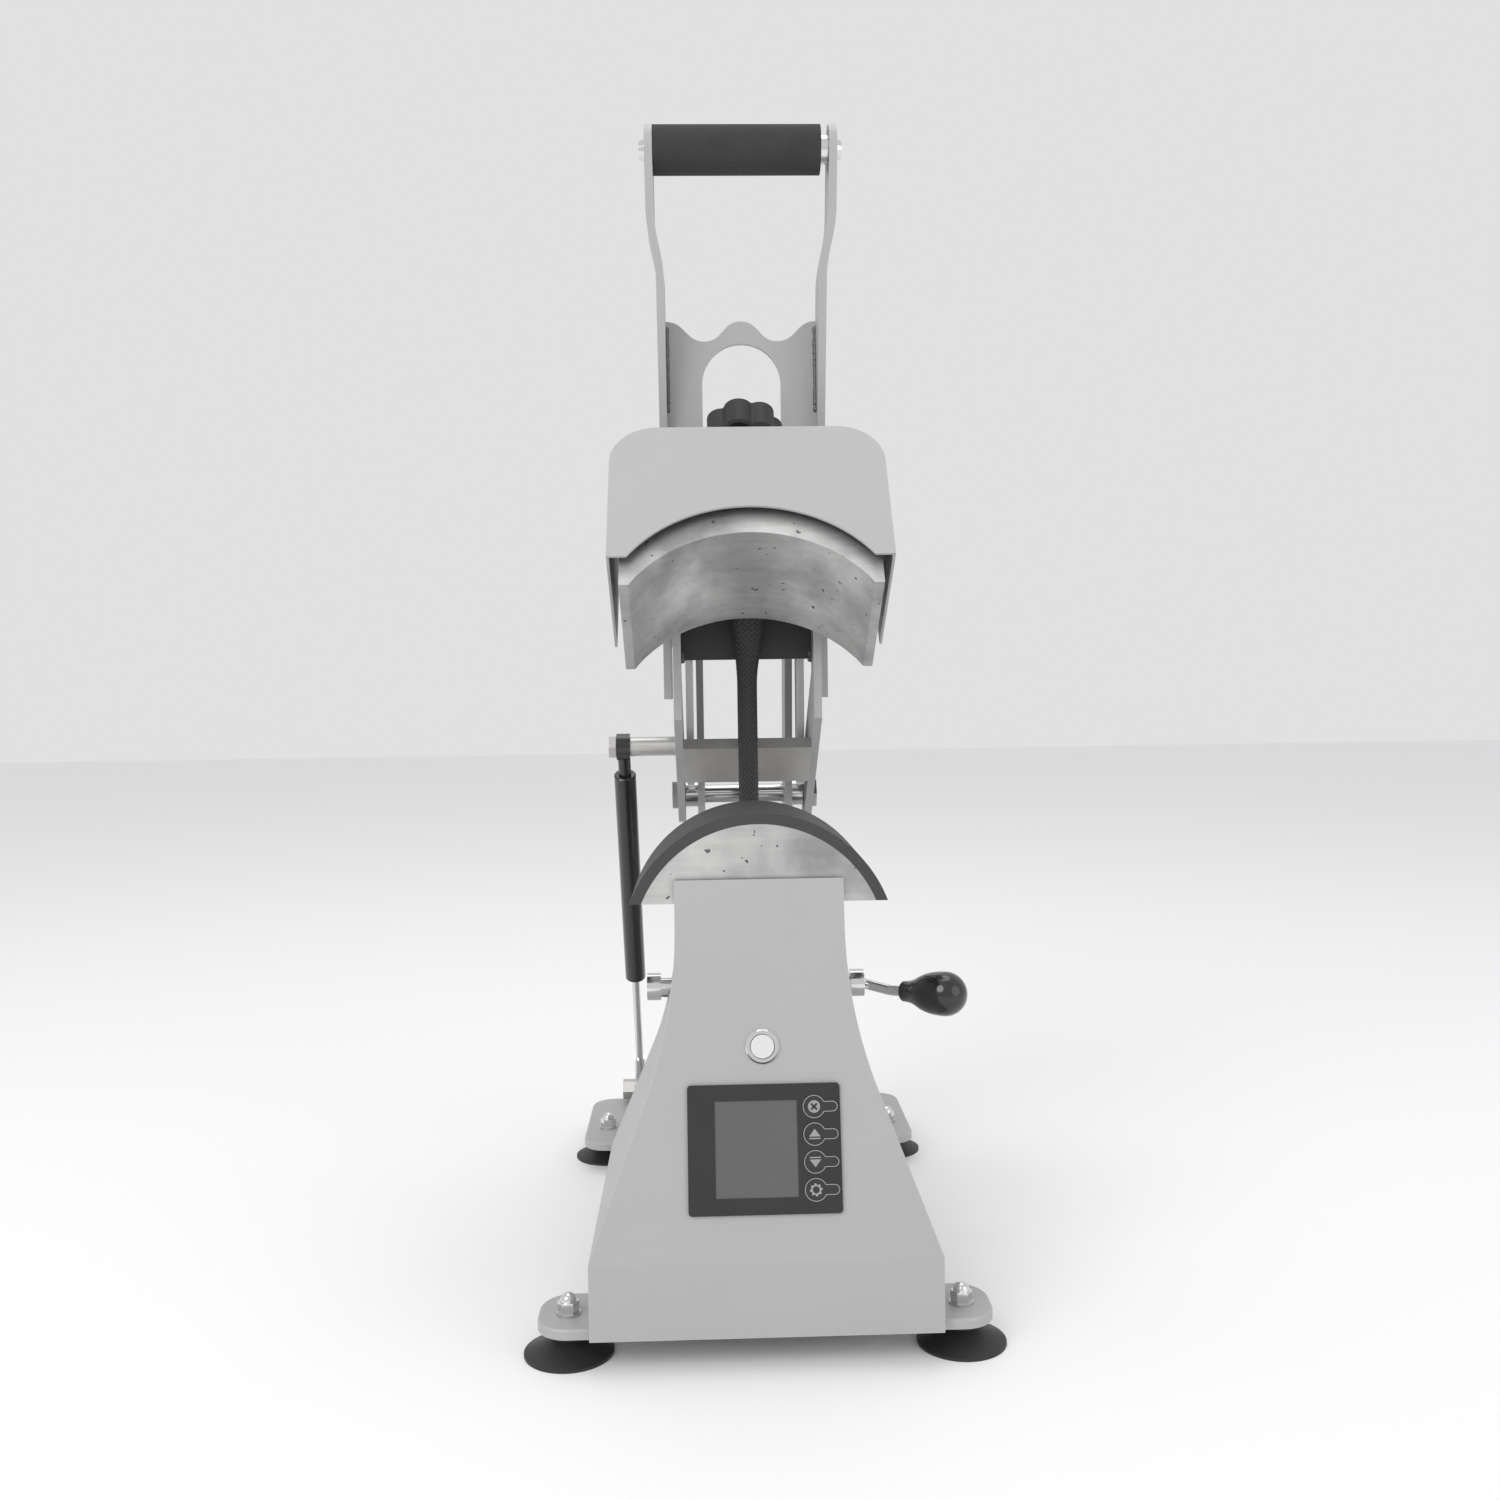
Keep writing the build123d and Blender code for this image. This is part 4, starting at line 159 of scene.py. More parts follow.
def make_grain_group():
    """Fine relief from noise, plus a slow change of tone around 1."""
    group, given, out = new_group(
        "fine grain", [("Grain size", 900), ("Relief", 0.1), ("Mottle size", 14), ("Mottle", 0.06)],
        [("Tone", "NodeSocketFloat"), ("Normal", "NodeSocketVector")])
    place = group.nodes.new("ShaderNodeTexCoord")
    fine = group.nodes.new("ShaderNodeTexNoise")
    slow = group.nodes.new("ShaderNodeTexNoise")
    bump = group.nodes.new("ShaderNodeBump")
    fine.inputs["Detail"].default_value = 2
    slow.inputs["Detail"].default_value = 5
    bump.inputs["Distance"].default_value = 0.0003
    for noise, label in ((fine, "Grain size"), (slow, "Mottle size")):
        group.links.new(place.outputs["Object"], noise.inputs["Vector"])
        group.links.new(given.outputs[label], noise.inputs["Scale"])
    group.links.new(fine.outputs["Fac"], bump.inputs["Height"])
    group.links.new(given.outputs["Relief"], bump.inputs["Strength"])
    swing = value_math(group, "SUBTRACT", slow.outputs["Fac"], 0.5)
    swing = value_math(group, "MULTIPLY", swing, given.outputs["Mottle"])
    swing = value_math(group, "MULTIPLY", swing, 2.0)
    group.links.new(value_math(group, "ADD", swing, 1.0), out.inputs["Tone"])
    group.links.new(bump.outputs["Normal"], out.inputs["Normal"])
    return group


def make_edge_group():
    """1 on sharp edges and 0 on flats, broken up by noise so that the wear is uneven."""
    group, given, out = new_group("rubbed edge", [("Width", 0.0006), ("Patchiness", 60)],
                                  [("Mask", "NodeSocketFloat")])
    rounded = group.nodes.new("ShaderNodeBevel")
    rounded.samples = 4
    flat = group.nodes.new("ShaderNodeNewGeometry")
    dot = group.nodes.new("ShaderNodeVectorMath")
    dot.operation = "DOT_PRODUCT"
    place = group.nodes.new("ShaderNodeTexCoord")
    patches = group.nodes.new("ShaderNodeTexNoise")
    group.links.new(given.outputs["Width"], rounded.inputs["Radius"])
    group.links.new(rounded.outputs["Normal"], dot.inputs[0])
    group.links.new(flat.outputs["True Normal"], dot.inputs[1])
    group.links.new(place.outputs["Object"], patches.inputs["Vector"])
    group.links.new(given.outputs["Patchiness"], patches.inputs["Scale"])
    bent = value_math(group, "SUBTRACT", 1.0, dot.outputs["Value"])
    bent = value_math(group, "MULTIPLY", bent, 6.0)
    bent = value_math(group, "MULTIPLY", bent, patches.outputs["Fac"])
    bent = value_math(group, "MINIMUM", bent, 1.0)
    group.links.new(bent, out.inputs["Mask"])
    return group


GRAIN = make_grain_group()
EDGE = make_edge_group()
print("groups:", GRAIN.name, "and", EDGE.name)

# %% [markdown]
# A finish is one Principled shader with those groups in front of it: the grain's tone multiplies
# the base colour, the edge mask mixes in a second colour, and the relief feeds the normal.
# One builder makes the plain finishes, so that each differs only in its numbers.

# %% Material builder
def start_material(name, rough, metal=0.0, coat=0.0):
    """A new material with plain constants on the shader's own sockets."""
    material = bpy.data.materials.new(name)
    material.use_nodes = True
    shader = material.node_tree.nodes["Principled BSDF"]
    shader.inputs["Roughness"].default_value = rough
    shader.inputs["Metallic"].default_value = metal
    shader.inputs["Coat Weight"].default_value = coat
    return material, material.node_tree, shader


def place_group(tree, group, **values):
    node = tree.nodes.new("ShaderNodeGroup")
    node.node_tree = group
    for label, value in values.items():
        node.inputs[label.replace("_", " ")].default_value = value
    return node


def blend_colour(tree, factor, first, second, kind="MIX"):
    """A colour mix; factor, first and second are sockets or plain values."""
    node = tree.nodes.new("ShaderNodeMix")
    node.data_type = "RGBA"
    node.blend_type = kind
    for slot, operand in ((0, factor), (6, first), (7, second)):
        if isinstance(operand, bpy.types.NodeSocket):
            tree.links.new(operand, node.inputs[slot])
        else:
            node.inputs[slot].default_value = operand
    return node.outputs[2]


def grey(level, warm=0.0):
    return (level * (1 + warm), level, level * (1 - warm), 1)


def coat_material(name, level, rough, metal=0.0, coat=0.0, warm=0.0, grain=(900, 0.1),
                  mottle=(14, 0.06), edge=(0.0006, 1.25)):
    """A sprayed, moulded or plated finish; edge is (width, how much lighter the edge is)."""
    material, tree, shader = start_material(name, rough, metal, coat)
    speckle = place_group(tree, GRAIN, Grain_size=grain[0], Relief=grain[1], Mottle_size=mottle[0],
                          Mottle=mottle[1])
    rubbed = place_group(tree, EDGE, Width=edge[0])
    toned = blend_colour(tree, 1.0, grey(level, warm), speckle.outputs["Tone"], "MULTIPLY")
    lighter = grey(min(1.0, level * edge[1]), warm)
    tree.links.new(blend_colour(tree, rubbed.outputs["Mask"], toned, lighter), shader.inputs["Base Color"])
    tree.links.new(speckle.outputs["Normal"], shader.inputs["Normal"])
    uneven = value_math(tree, "MULTIPLY", speckle.outputs["Tone"], rough)
    tree.links.new(uneven, shader.inputs["Roughness"])
    return material


print("material builder ready")

# %% [markdown]
# Most of the press has one of a dozen shop finishes: silver-grey powder coat on sheet metal,
# zinc and chrome on fittings, and moulded plastic and rubber. Real coats are never one even
# tone, so each has a faint mottle and its own size of grain.

# %% Plain finishes
finishes = {
    "grey_powder_coat": coat_material("silver-grey powder coat", 0.42, 0.46, 0.15, grain=(1100, 0.16),
                                      mottle=(16, 0.035), edge=(0.0007, 1.3)),
    "black_rubber": coat_material("cup rubber", 0.018, 0.5, grain=(500, 0.1), mottle=(60, 0.3)),
    "zinc_steel": coat_material("zinc plate", 0.58, 0.36, 1.0, warm=0.015, grain=(420, 0.12),
                                mottle=(45, 0.16)),
    "chrome_steel": coat_material("chrome plate", 0.72, 0.12, 1.0, grain=(300, 0.02), mottle=(30, 0.04)),
    "black_lacquer": coat_material("black strut lacquer", 0.012, 0.2, coat=0.4, grain=(400, 0.03)),
    "silicone": coat_material("silicone pad", 0.045, 0.62, grain=(260, 0.3), mottle=(35, 0.25)),
    "black_plastic": coat_material("black moulded plastic", 0.020, 0.42, grain=(1500, 0.3),
                                   mottle=(40, 0.15), edge=(0.0005, 2.2)),
    "key_film": coat_material("key film", 0.026, 0.38, grain=(1500, 0.1), mottle=(50, 0.1)),
    "white_plastic": coat_material("white button", 0.68, 0.3, grain=(400, 0.02), mottle=(80, 0.04)),
    "glossy_knob": coat_material("glossy black knob", 0.010, 0.16, coat=0.5, grain=(300, 0.02),
                                 mottle=(50, 0.15)),
    # The bridge plate's dark tone is partly its own dark steel and partly painted shade, for the shadow
    # under the head.
    "dark_steel_and_painted_shade": coat_material("dark steel with painted shade", 0.045, 0.5, 0.4, grain=(600, 0.15), mottle=(30, 0.25)),
    "insulation": coat_material("fibre board", 0.55, 0.9, warm=0.12, grain=(350, 0.6), mottle=(60, 0.3)),
}
print(len(finishes), "plain finishes")

# %% [markdown]
# The heating block is bare cast aluminium that was milled and then heated many times. It has
# cloudy blotches, fine mill lines and small pits. Noise at two sizes makes the clouds, a
# stretched noise makes the lines, and a sharp threshold on a third noise makes the pits.

# %% Raw aluminium
def raw_aluminium():
    material, tree, shader = start_material("raw aluminium", 0.45, 1.0)
    place = tree.nodes.new("ShaderNodeTexCoord")
    ramp = tree.nodes.new("ShaderNodeMapRange")
    heights = []
    for label, scale, detail, stretch in (
            ("clouds", 22, 8, (1, 1, 1)), ("mill lines", 260, 3, (0.06, 1, 1)), ("pits", 240, 1, (1, 1, 1))):
        turn = tree.nodes.new("ShaderNodeMapping")
        turn.inputs["Scale"].default_value = stretch
        noise = tree.nodes.new("ShaderNodeTexNoise")
        noise.label = label
        noise.inputs["Scale"].default_value = scale
        noise.inputs["Detail"].default_value = detail
        tree.links.new(place.outputs["Object"], turn.inputs["Vector"])
        tree.links.new(turn.outputs["Vector"], noise.inputs["Vector"])
        heights.append(noise.outputs["Fac"])
    clouds, lines, pits = heights
    ramp.inputs["From Min"].default_value = 0.34
    ramp.inputs["From Max"].default_value = 0.66
    tree.links.new(clouds, ramp.inputs["Value"])
    tint = blend_colour(tree, ramp.outputs["Result"], grey(0.34), grey(0.66, 0.01))
    lined = value_math(tree, "ADD", value_math(tree, "MULTIPLY", lines, 0.3), 0.85)
    tint = blend_colour(tree, 1.0, tint, lined, "MULTIPLY")
    hole = value_math(tree, "GREATER_THAN", pits, 0.74)
    tint = blend_colour(tree, hole, tint, grey(0.16))
    tree.links.new(tint, shader.inputs["Base Color"])
    dull = value_math(tree, "ADD", value_math(tree, "MULTIPLY", ramp.outputs["Result"], -0.14), 0.56)
    tree.links.new(dull, shader.inputs["Roughness"])
    bump = tree.nodes.new("ShaderNodeBump")
    bump.inputs["Distance"].default_value = 0.0002
    bump.inputs["Strength"].default_value = 0.35
    relief = value_math(tree, "SUBTRACT", lines, hole)
    tree.links.new(relief, bump.inputs["Height"])
    tree.links.new(bump.outputs["Normal"], shader.inputs["Normal"])
    return material


finishes["raw_aluminium"] = raw_aluminium()
print("raw aluminium ready")

# %% [markdown]
# The foam grip is closed-cell rubber: matt, dark and full of tiny open cells at the skin.
# Cells have walls, so a Voronoi texture suits them better than noise: its distance to the
# nearest cell centre gives round pits with thin walls between them.

# %% Foam
def cell_foam():
    material, tree, shader = start_material("closed-cell foam", 0.85)
    place = tree.nodes.new("ShaderNodeTexCoord")
    cells = tree.nodes.new("ShaderNodeTexVoronoi")
    cells.inputs["Scale"].default_value = 1100
    tree.links.new(place.outputs["Object"], cells.inputs["Vector"])
    bump = tree.nodes.new("ShaderNodeBump")
    bump.inputs["Distance"].default_value = 0.0004
    bump.inputs["Strength"].default_value = 0.5
    tree.links.new(cells.outputs["Distance"], bump.inputs["Height"])
    tree.links.new(bump.outputs["Normal"], shader.inputs["Normal"])
    speckle = place_group(tree, GRAIN, Grain_size=700, Mottle_size=55, Mottle=0.3)
    toned = blend_colour(tree, 1.0, grey(0.032), speckle.outputs["Tone"], "MULTIPLY")
    tree.links.new(toned, shader.inputs["Base Color"])
    return material


finishes["foam"] = cell_foam()
print("foam ready")

# %% [markdown]
# The display is off: a dark grey glass window with a faint sheen. A thin clear coat over a flat
# dark base gives the reflection of glass without light having to pass through it.

# %% Display window
def display_window():
    material, tree, shader = start_material("unlit display", 0.3, coat=0.6)
    speckle = place_group(tree, GRAIN, Grain_size=200, Relief=0.0, Mottle_size=25, Mottle=0.05)
    toned = blend_colour(tree, 1.0, grey(0.095), speckle.outputs["Tone"], "MULTIPLY")
    tree.links.new(toned, shader.inputs["Base Color"])
    shader.inputs["Coat Roughness"].default_value = 0.08
    return material


finishes["screen_glass"] = display_window()
print("display ready")

# %% [markdown]
# The braided sleeve is woven from two sets of flat threads that wind round it opposite ways and
# pass over and under each other. The tube carries an attribute called wrap, with the cosine and
# sine of the angle round it and the length along it, so the pattern meets itself at the seam.

# %% Braid
BRAID_THREADS = 16
BRAID_PITCH = 0.0035


def braid():
    material, tree, shader = start_material("black braid", 0.6)
    wrap = tree.nodes.new("ShaderNodeAttribute")
    wrap.attribute_name = "wrap"
    parts = tree.nodes.new("ShaderNodeSeparateXYZ")
    tree.links.new(wrap.outputs["Vector"], parts.inputs["Vector"])
    turn = value_math(tree, "ARCTAN2", parts.outputs["Y"], parts.outputs["X"])
    around = value_math(tree, "MULTIPLY", turn, BRAID_THREADS / (2 * math.pi))
    along = value_math(tree, "DIVIDE", parts.outputs["Z"], BRAID_PITCH)
    left = value_math(tree, "ADD", around, along)
    right = value_math(tree, "SUBTRACT", around, along)
    steps = value_math(tree, "ADD", value_math(tree, "FLOOR", left), value_math(tree, "FLOOR", right))
    over = value_math(tree, "ABSOLUTE", value_math(tree, "MODULO", steps, 2.0))
    ridges = []
    for way in (left, right):
        wave = value_math(tree, "SINE", value_math(tree, "MULTIPLY", way, math.pi))
        ridges.append(value_math(tree, "ABSOLUTE", wave))
    first = value_math(tree, "MULTIPLY", ridges[0], over)
    second = value_math(tree, "MULTIPLY", ridges[1], value_math(tree, "SUBTRACT", 1.0, over))
    height = value_math(tree, "ADD", first, second)
    tree.links.new(blend_colour(tree, height, grey(0.006), grey(0.035)), shader.inputs["Base Color"])
    bump = tree.nodes.new("ShaderNodeBump")
    bump.inputs["Distance"].default_value = 0.0006
    bump.inputs["Strength"].default_value = 0.8
    tree.links.new(height, bump.inputs["Height"])
    tree.links.new(bump.outputs["Normal"], shader.inputs["Normal"])
    return material


finishes["braided_sleeve"] = braid()
print("braid ready")

# %% [markdown]
# Each CAD node names its material slot in the record, so one loop dresses them all.

# %% Dress the frame
slots = {entry["node"]: entry["material_slot"] for entry in frame["record"]["subparts"]}
for name, piece in nodes.items():
    piece.data.materials.clear()
    piece.data.materials.append(finishes[slots[name]])
# The bridge plate gets the dark finish: partly dark steel, partly painted shade under the head.
for name, finish in (("clamp_knob", "glossy_knob"), ("bridge_plate", "dark_steel_and_painted_shade"),
                     ("strut_bracket", "zinc_steel")):
    nodes[name].data.materials[0] = finishes[finish]
print("dressed", len(nodes), "nodes")

# %% [markdown]
# Two helpers for added pieces: one makes an object from points and faces, one runs a Geometry
# Nodes tree on a base mesh and keeps only the plain mesh that comes out.

# %% Mesh helpers
def solid(name, points, faces, material):
    mesh = bpy.data.meshes.new(name)
    mesh.from_pydata([tuple(p) for p in points], [], faces)
    mesh.materials.append(material)
    mesh.update()
    piece = bpy.data.objects.new(name, mesh)
    bpy.context.collection.objects.link(piece)
    return piece


def bake_nodes(name, start, group, values):
    """Runs a Geometry Nodes group on an object and returns a plain mesh object."""
    modifier = start.modifiers.new("nodes", "NODES")
    modifier.node_group = group
    for entry in group.interface.items_tree:
        if entry.item_type == "SOCKET" and entry.in_out == "INPUT" and entry.name in values:
            modifier[entry.identifier] = values[entry.name]
    graph = bpy.context.evaluated_depsgraph_get()
    mesh = bpy.data.meshes.new_from_object(start.evaluated_get(graph))
    mesh.name = name
    piece = bpy.data.objects.new(name, mesh)
    bpy.context.collection.objects.link(piece)
    bpy.data.objects.remove(start)
    return piece


def line_object(name, points, edges):
    """An object of bare edges, for a tree to turn into curves."""
    mesh = bpy.data.meshes.new(name)
    mesh.from_pydata(points, edges, [])
    line = bpy.data.objects.new(name, mesh)
    bpy.context.collection.objects.link(line)
    return line


def new_nodes_tree(name, start, sizes, result):
    """A Geometry Nodes group with one mesh in, named sizes and one mesh out."""
    group = bpy.data.node_groups.new(name, "GeometryNodeTree")
    group.interface.new_socket(start, in_out="INPUT", socket_type="NodeSocketGeometry")
    for label in sizes:
        group.interface.new_socket(label, in_out="INPUT", socket_type="NodeSocketFloat")
    group.interface.new_socket(result, in_out="OUTPUT", socket_type="NodeSocketGeometry")
    return group, group.nodes.new("NodeGroupInput"), group.nodes.new("NodeGroupOutput")


def end_tree(group, mesh, out, material):
    """Realize Instances and Set Material, the last two nodes of every tree."""
    realize = group.nodes.new("GeometryNodeRealizeInstances")
    paint = group.nodes.new("GeometryNodeSetMaterial")
    paint.inputs["Material"].default_value = material
    group.links.new(mesh, realize.inputs["Geometry"])
    group.links.new(realize.outputs["Geometry"], paint.inputs["Geometry"])
    group.links.new(paint.outputs["Geometry"], out.inputs[0])


print("helpers ready")

# %% [markdown]
# The control panel lies on the slope of the front cover. A point on it is given by how far it is
# to the right, up the slope and out of it, measured from the panel's middle.

# %% Panel place
SLOPE_FRONT, SLOPE_RUN, SLOPE_LOW, SLOPE_HIGH = -0.2075, 0.043, 0.057, 0.249
PANEL_MIDDLE = 0.112
KEY_FACE = 0.0020
slope = math.atan2(SLOPE_RUN, SLOPE_HIGH - SLOPE_LOW)
panel_origin = Vector((0, SLOPE_FRONT + (PANEL_MIDDLE - SLOPE_LOW) * math.tan(slope), PANEL_MIDDLE))
panel_up = Vector((0, math.sin(slope), math.cos(slope)))
panel_out = Vector((0, -math.cos(slope), math.sin(slope)))


def on_panel(across, up, out):
    return panel_origin + Vector((across, 0, 0)) + panel_up * up + panel_out * out


def panel_slab(outer, inner, face, thick):
    """Points and faces of a thin slab on the panel: an outline, or a ring when inner is given."""
    count = len(outer)
    points = [on_panel(x, y, face + thick) for x, y in outer] + [on_panel(x, y, face) for x, y in outer]
    if not inner:
        sides = [(i, count + i, count + (i + 1) % count, (i + 1) % count) for i in range(count)]
        return points, [tuple(range(count))] + sides
    points += [on_panel(x, y, face + thick) for x, y in inner] + [on_panel(x, y, face) for x, y in inner]
    faces = []
    for i in range(count):
        j = (i + 1) % count
        faces += [(i, j, 2 * count + j, 2 * count + i), (i, count + i, count + j, j),
                  (2 * count + i, 2 * count + j, 3 * count + j, 3 * count + i)]
    return points, faces


print("slope", round(math.degrees(slope), 2), "degrees")

# %% [markdown]
# Each key is printed: a circle joined to a pill-shaped tab, with a sign in the circle. The line
# round it is a narrow ring. It is drawn from an outline that follows the circle, steps on to the
# tab and comes back, once at full size and once made smaller by the width of the line.

# %% Key outlines
KEY_COUNT, KEY_PITCH, KEY_ACROSS = 4, 0.0140, 0.0263
KEY_RADIUS, TAB_HALF, TAB_REACH = 0.0061, 0.0029, 0.0126
KEY_LINE = 0.00038
PRINT_THICK = 0.00006
ink = coat_material("panel print", 0.30, 0.5, grain=(900, 0.02), mottle=(90, 0.1))


def key_outline(shrink):
    radius, half = KEY_RADIUS - shrink, TAB_HALF - shrink
    gap = math.asin(half / radius)
    circle = [gap + (2 * math.pi - 2 * gap) * i / 40 for i in range(41)]
    tab = [-math.pi / 2 + math.pi * i / 12 for i in range(13)]
    centre = TAB_REACH - TAB_HALF
    return ([(radius * math.cos(a), radius * math.sin(a)) for a in circle]
            + [(centre + half * math.cos(a), half * math.sin(a)) for a in tab])


def key_height(index):
    return ((KEY_COUNT - 1) / 2 - index) * KEY_PITCH


def moved(outline, across, up):
    return [(x + across, y + up) for x, y in outline]


def join_shapes(name, shapes, material):
    points, faces = [], []
    for shape_points, shape_faces in shapes:
        base = len(points)
        points += shape_points
        faces += [tuple(base + i for i in face) for face in shape_faces]
    return solid(name, points, faces, material)


INSET = 0.0002
rings = [panel_slab(moved(key_outline(INSET), KEY_ACROSS, key_height(k)),
                    moved(key_outline(INSET + KEY_LINE), KEY_ACROSS, key_height(k)), KEY_FACE, PRINT_THICK)
         for k in range(KEY_COUNT)]
key_rings = join_shapes("key_rings", rings, ink)
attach(key_rings, "base")
print("key rings:", KEY_COUNT)

# %% [markdown]
# The signs are plain ones that any controller has: a cross for clear, a triangle up and one down
# with a bar for the time and the heat, and a small gear for the settings.

# %% Key signs
def disc(radius, steps=32):
    return [(radius * math.cos(2 * math.pi * i / steps), radius * math.sin(2 * math.pi * i / steps))
            for i in range(steps)]


def bar(length, width, angle):
    corners = [(-length / 2, -width / 2), (length / 2, -width / 2), (length / 2, width / 2),
               (-length / 2, width / 2)]
    c, s = math.cos(angle), math.sin(angle)
    return [(x * c - y * s, x * s + y * c) for x, y in corners]


def gear(radius, tooth, teeth=8, part=6):
    outline = []
    for i in range(teeth * part):
        angle = 2 * math.pi * i / (teeth * part)
        outline.append(((radius + (tooth if i % part < part / 2 else 0)) * math.cos(angle),
                        (radius + (tooth if i % part < part / 2 else 0)) * math.sin(angle)))
    return outline


def sign(outline, key, inner=None, face=KEY_FACE):
    place = (KEY_ACROSS, key_height(key))
    return panel_slab(moved(outline, *place), moved(inner, *place) if inner else None, face, PRINT_THICK)


TRIANGLE = [(-0.0030, -0.0012), (0.0030, -0.0012), (0, 0.0027)]
signs = [
    sign(disc(0.0032), 0), sign(TRIANGLE, 1), sign(moved(bar(0.0058, 0.0006, 0), 0, -0.0022), 1),
    sign([(x, -y) for x, y in reversed(TRIANGLE)], 2), sign(moved(bar(0.0058, 0.0006, 0), 0, 0.0022), 2),
    sign(gear(0.0026, 0.0007), 3, disc(0.0018, 48))]
key_signs = join_shapes("key_signs", signs, ink)
cross = [sign(bar(0.0044, 0.0010, math.radians(turn)), 0, face=KEY_FACE + PRINT_THICK) for turn in (45, 135)]
key_cross = join_shapes("clear_cross", cross, finishes["key_film"])
for piece in (key_signs, key_cross):
    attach(piece, "base")
print("signs:", len(signs) + 1)

# %% [markdown]
# The braided sleeve is one smooth tube instead of the frame's rigid stand-in. A Geometry Nodes
# tree sweeps a ring along the route and widens it towards the head, where the sleeve is pushed
# open over the wires. Its surface then carries the wrap attribute.

# %% Sleeve route
SLEEVE_ROUTE = [
    (0.0, -0.0225, 0.044), (0.0, -0.0225, 0.110), (0.0, -0.0195, 0.180), (0.0, -0.0115, 0.245),
    (0.0, -0.0050, 0.305), (0.0, -0.0058, 0.360), (0.001, -0.0085, 0.385), (0.0, -0.0108, 0.408)]
SLEEVE_SIZES = {"Thin": 0.0064, "Wide": 0.0116, "Spread start": 0.352,
                "Spread end": SLEEVE_ROUTE[-1][2]}
SLEEVE_SIDES, SLEEVE_RINGS = 32, 150


def sleeve_tree():
    """Sweeps a unit ring along the route, scaled by the height of each point."""
    group, given, out = new_nodes_tree("sleeve", "Route", SLEEVE_SIZES, "Tube")
    add, link = group.nodes.new, group.links.new
    curve = add("GeometryNodeMeshToCurve")
    resample = add("GeometryNodeResampleCurve")
    place = add("GeometryNodeInputPosition")
    split = add("ShaderNodeSeparateXYZ")
    size = add("ShaderNodeMapRange")
    ring = add("GeometryNodeCurvePrimitiveCircle")
    sweep = add("GeometryNodeCurveToMesh")
    resample.inputs["Count"].default_value = SLEEVE_RINGS
    size.interpolation_type = "SMOOTHSTEP"
    ring.inputs["Resolution"].default_value = SLEEVE_SIDES
    ring.inputs["Radius"].default_value = 1.0
    sweep.inputs["Fill Caps"].default_value = True
    link(given.outputs["Route"], curve.inputs["Mesh"])
    link(curve.outputs["Curve"], resample.inputs["Curve"])
    link(place.outputs["Position"], split.inputs["Vector"])
    link(split.outputs["Z"], size.inputs["Value"])
    for label, socket in (("Spread start", "From Min"), ("Spread end", "From Max"),
                          ("Thin", "To Min"), ("Wide", "To Max")):
        link(given.outputs[label], size.inputs[socket])
    link(resample.outputs["Curve"], sweep.inputs["Curve"])
    link(ring.outputs["Curve"], sweep.inputs["Profile Curve"])
    link(size.outputs["Result"], sweep.inputs["Scale"])
    end_tree(group, sweep.outputs["Mesh"], out, finishes["braided_sleeve"])
    return group


def smooth_route(points, steps=12):
    """Catmull-Rom points through the route."""
    ends = [points[0]] + list(points) + [points[-1]]
    path = []
    for a, b, c, d in zip(ends, ends[1:], ends[2:], ends[3:]):
        for i in range(steps):
            t = i / steps
            path.append(tuple(0.5 * (2 * q + (r - p) * t + (2 * p - 5 * q + 4 * r - s) * t * t
                                     + (3 * q - p - 3 * r + s) * t ** 3) for p, q, r, s in zip(a, b, c, d)))
    return path + [points[-1]]


route_points = smooth_route(SLEEVE_ROUTE)
route = line_object("sleeve_route", route_points, [(i, i + 1) for i in range(len(route_points) - 1)])
sleeve = bake_nodes("braided_tube", route, sleeve_tree(), SLEEVE_SIZES)
print("sleeve faces:", len(sleeve.data.polygons))

# %% [markdown]
# A braid needs to know where on the tube each point is. The tube's centre at a height is read
# from the route, which gives the angle round it, and the distance walked gives the length.

# %% Wrap attribute
def write_wrap(piece):
    wrap = piece.data.attributes.new("wrap", "FLOAT_VECTOR", "POINT")
    walked = [0.0]
    for a, b in zip(route_points, route_points[1:]):
        walked.append(walked[-1] + (Vector(b) - Vector(a)).length)
    for index, vertex in enumerate(piece.data.vertices):
        nearest = min(range(len(route_points)), key=lambda i: abs(route_points[i][2] - vertex.co.z))
        centre = Vector(route_points[nearest])
        angle = math.atan2(vertex.co.y - centre.y, vertex.co.x - centre.x)
        length = walked[nearest] + vertex.co.z - centre.z
        wrap.data[index].vector = (math.cos(angle), math.sin(angle), length)


write_wrap(sleeve)
for polygon in sleeve.data.polygons:
    polygon.use_smooth = len(polygon.vertices) == 4
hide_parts("loom_sleeve")
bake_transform(sleeve)

# %% [markdown]
# The cross plate is welded to both arms, and the photograph shows the rough dark beads. Each bead
# is a row of overlapping drops. A Geometry Nodes tree puts them along a line with a fixed seed,
# so their sizes differ a little, as they do in a weld made by hand.

# %% Weld beads
WELD_SIZES = {"Drop size": 0.0016, "Spacing": 0.0013}
SMALLEST_DROP, LARGEST_DROP, WELD_SEED = 0.75, 1.15, 7
weld_steel = coat_material("weld bead", 0.17, 0.5, 0.7, grain=(700, 0.5), mottle=(120, 0.5))


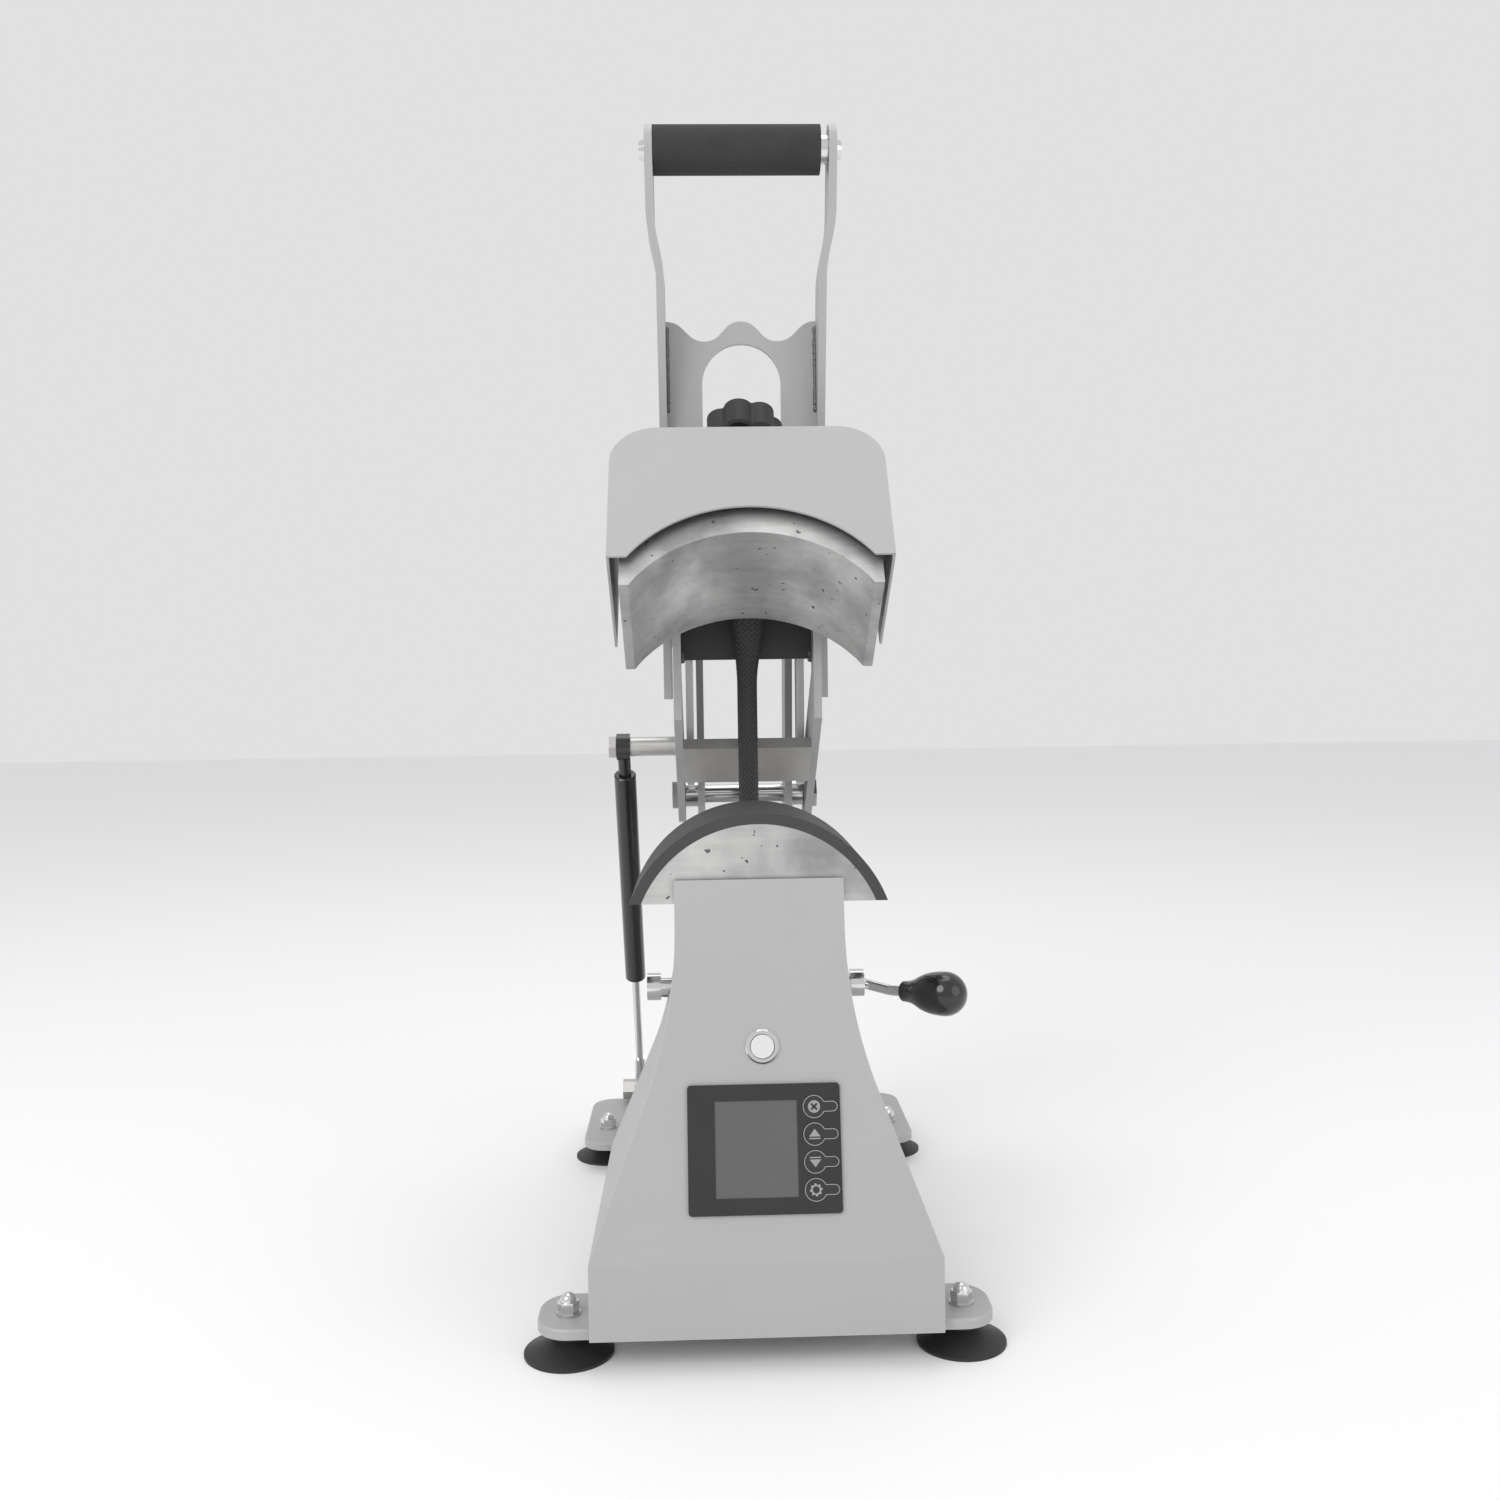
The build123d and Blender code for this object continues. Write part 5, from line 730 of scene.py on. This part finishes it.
def weld_tree():
    """Puts drops of slightly different sizes along every line."""
    group, given, out = new_nodes_tree("weld", "Line", WELD_SIZES, "Bead")
    add, link = group.nodes.new, group.links.new
    curve = add("GeometryNodeMeshToCurve")
    points = add("GeometryNodeCurveToPoints")
    drop = add("GeometryNodeMeshIcoSphere")
    place = add("GeometryNodeInstanceOnPoints")
    vary = add("FunctionNodeRandomValue")
    points.mode = "LENGTH"
    drop.inputs["Subdivisions"].default_value = 2
    vary.data_type = "FLOAT"
    least, most = vary.inputs[2], vary.inputs[3]
    least.default_value, most.default_value = SMALLEST_DROP, LARGEST_DROP
    vary.inputs["Seed"].default_value = WELD_SEED
    link(given.outputs["Line"], curve.inputs["Mesh"])
    link(curve.outputs["Curve"], points.inputs["Curve"])
    link(given.outputs["Spacing"], points.inputs["Length"])
    link(given.outputs["Drop size"], drop.inputs["Radius"])
    link(points.outputs["Points"], place.inputs["Points"])
    link(drop.outputs["Mesh"], place.inputs["Instance"])
    link(vary.outputs[1], place.inputs["Scale"])
    end_tree(group, place.outputs["Instances"], out, weld_steel)
    return group


def weld(name, lines, body):
    """One bead mesh along several straight lines, each a pair of points."""
    points, edges = [], []
    for start, end in lines:
        edges.append((len(points), len(points) + 1))
        points += [start, end]
    bead = bake_nodes(name, line_object(name + "_line", points, edges), WELD, WELD_SIZES)
    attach(bead, body)
    print(name, len(bead.data.polygons), "faces")


WELD = weld_tree()
SIDES = (-1, 1)
plate_low, plate_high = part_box("cross_plate")
ARM_WELD_X, ARM_WELD_Y = plate_high[0] - 0.0006, plate_low[1] - 0.0002
ARM_WELD_BOTTOM, ARM_WELD_TOP = 0.535, 0.588
WEB_WELD_X, WEB_WELD_LOW, WEB_WELD_HIGH = 0.0416, (0.0032, 0.3690), (0.0034, 0.3735)
weld("arm_welds", [((side * ARM_WELD_X, ARM_WELD_Y, ARM_WELD_BOTTOM),
                    (side * ARM_WELD_X, ARM_WELD_Y, ARM_WELD_TOP)) for side in SIDES],
     "handle_frame")
weld("web_welds", [((side * WEB_WELD_X, *WEB_WELD_LOW), (side * WEB_WELD_X, *WEB_WELD_HIGH))
                   for side in SIDES],
     "head_beam")
print("cross plate front at", round(plate_low[1], 4))

# %% [markdown]
# Thin wires run from the rear ends of the four heater rods into the sleeve. They ride on the
# beam and end in the sleeve's wide mouth, where the ends don't show.

# %% Heater wires
WIRE_RADIUS, WIRES_ACROSS = 0.0011, (-0.048, -0.016, 0.016, 0.048)
ROD_END_Y, ROD_END_Z = -0.0236, 0.3995
WIRE_SUNK, WIRE_BACK, WIRE_SAG, WIRE_CLOSING = 0.002, 0.012, 0.004, 0.75
MOUTH_SHARE, MOUTH_Y, MOUTH_Z = 0.10, -0.0112, 0.4088
wire_skin = coat_material("glass-fibre wire", 0.32, 0.7, warm=0.05, grain=(900, 0.4), mottle=(60, 0.3))


def wire(points, radius, steps=8):
    """Points and faces of a thin tube through the given points."""
    ring_points, faces = [], []
    for i, point in enumerate(points):
        here = Vector(point)
        way = (Vector(points[min(i + 1, len(points) - 1)]) - Vector(points[max(i - 1, 0)])).normalized()
        across = way.cross(Vector((0, 1, 0.01))).normalized()
        up = way.cross(across)
        for k in range(steps):
            angle = 2 * math.pi * k / steps
            ring_points.append(here + across * radius * math.cos(angle) + up * radius * math.sin(angle))
    for i in range(len(points) - 1):
        for k in range(steps):
            j = (k + 1) % steps
            faces.append((i * steps + k, i * steps + j, (i + 1) * steps + j, (i + 1) * steps + k))
    last = (len(points) - 1) * steps
    faces += [tuple(range(steps)), tuple(reversed(range(last, last + steps)))]
    return ring_points, faces


def wire_path(start, middle, end, steps=14):
    """A quadratic curve from the rod's end, out behind the head and into the sleeve."""
    a, b, c = Vector(start), Vector(middle), Vector(end)
    shares = [i / steps for i in range(steps + 1)]
    return [a * (1 - t) ** 2 + b * 2 * t * (1 - t) + c * t ** 2 for t in shares]


wires = [wire(wire_path((x, ROD_END_Y - WIRE_SUNK, ROD_END_Z),
                        (x * WIRE_CLOSING, ROD_END_Y + WIRE_BACK, ROD_END_Z - WIRE_SAG),
                        (x * MOUTH_SHARE, MOUTH_Y, MOUTH_Z)), WIRE_RADIUS) for x in WIRES_ACROSS]
heater_wires = join_shapes("heater_wires", wires, wire_skin)
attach(heater_wires, "head_beam")
print("wires:", len(wires))
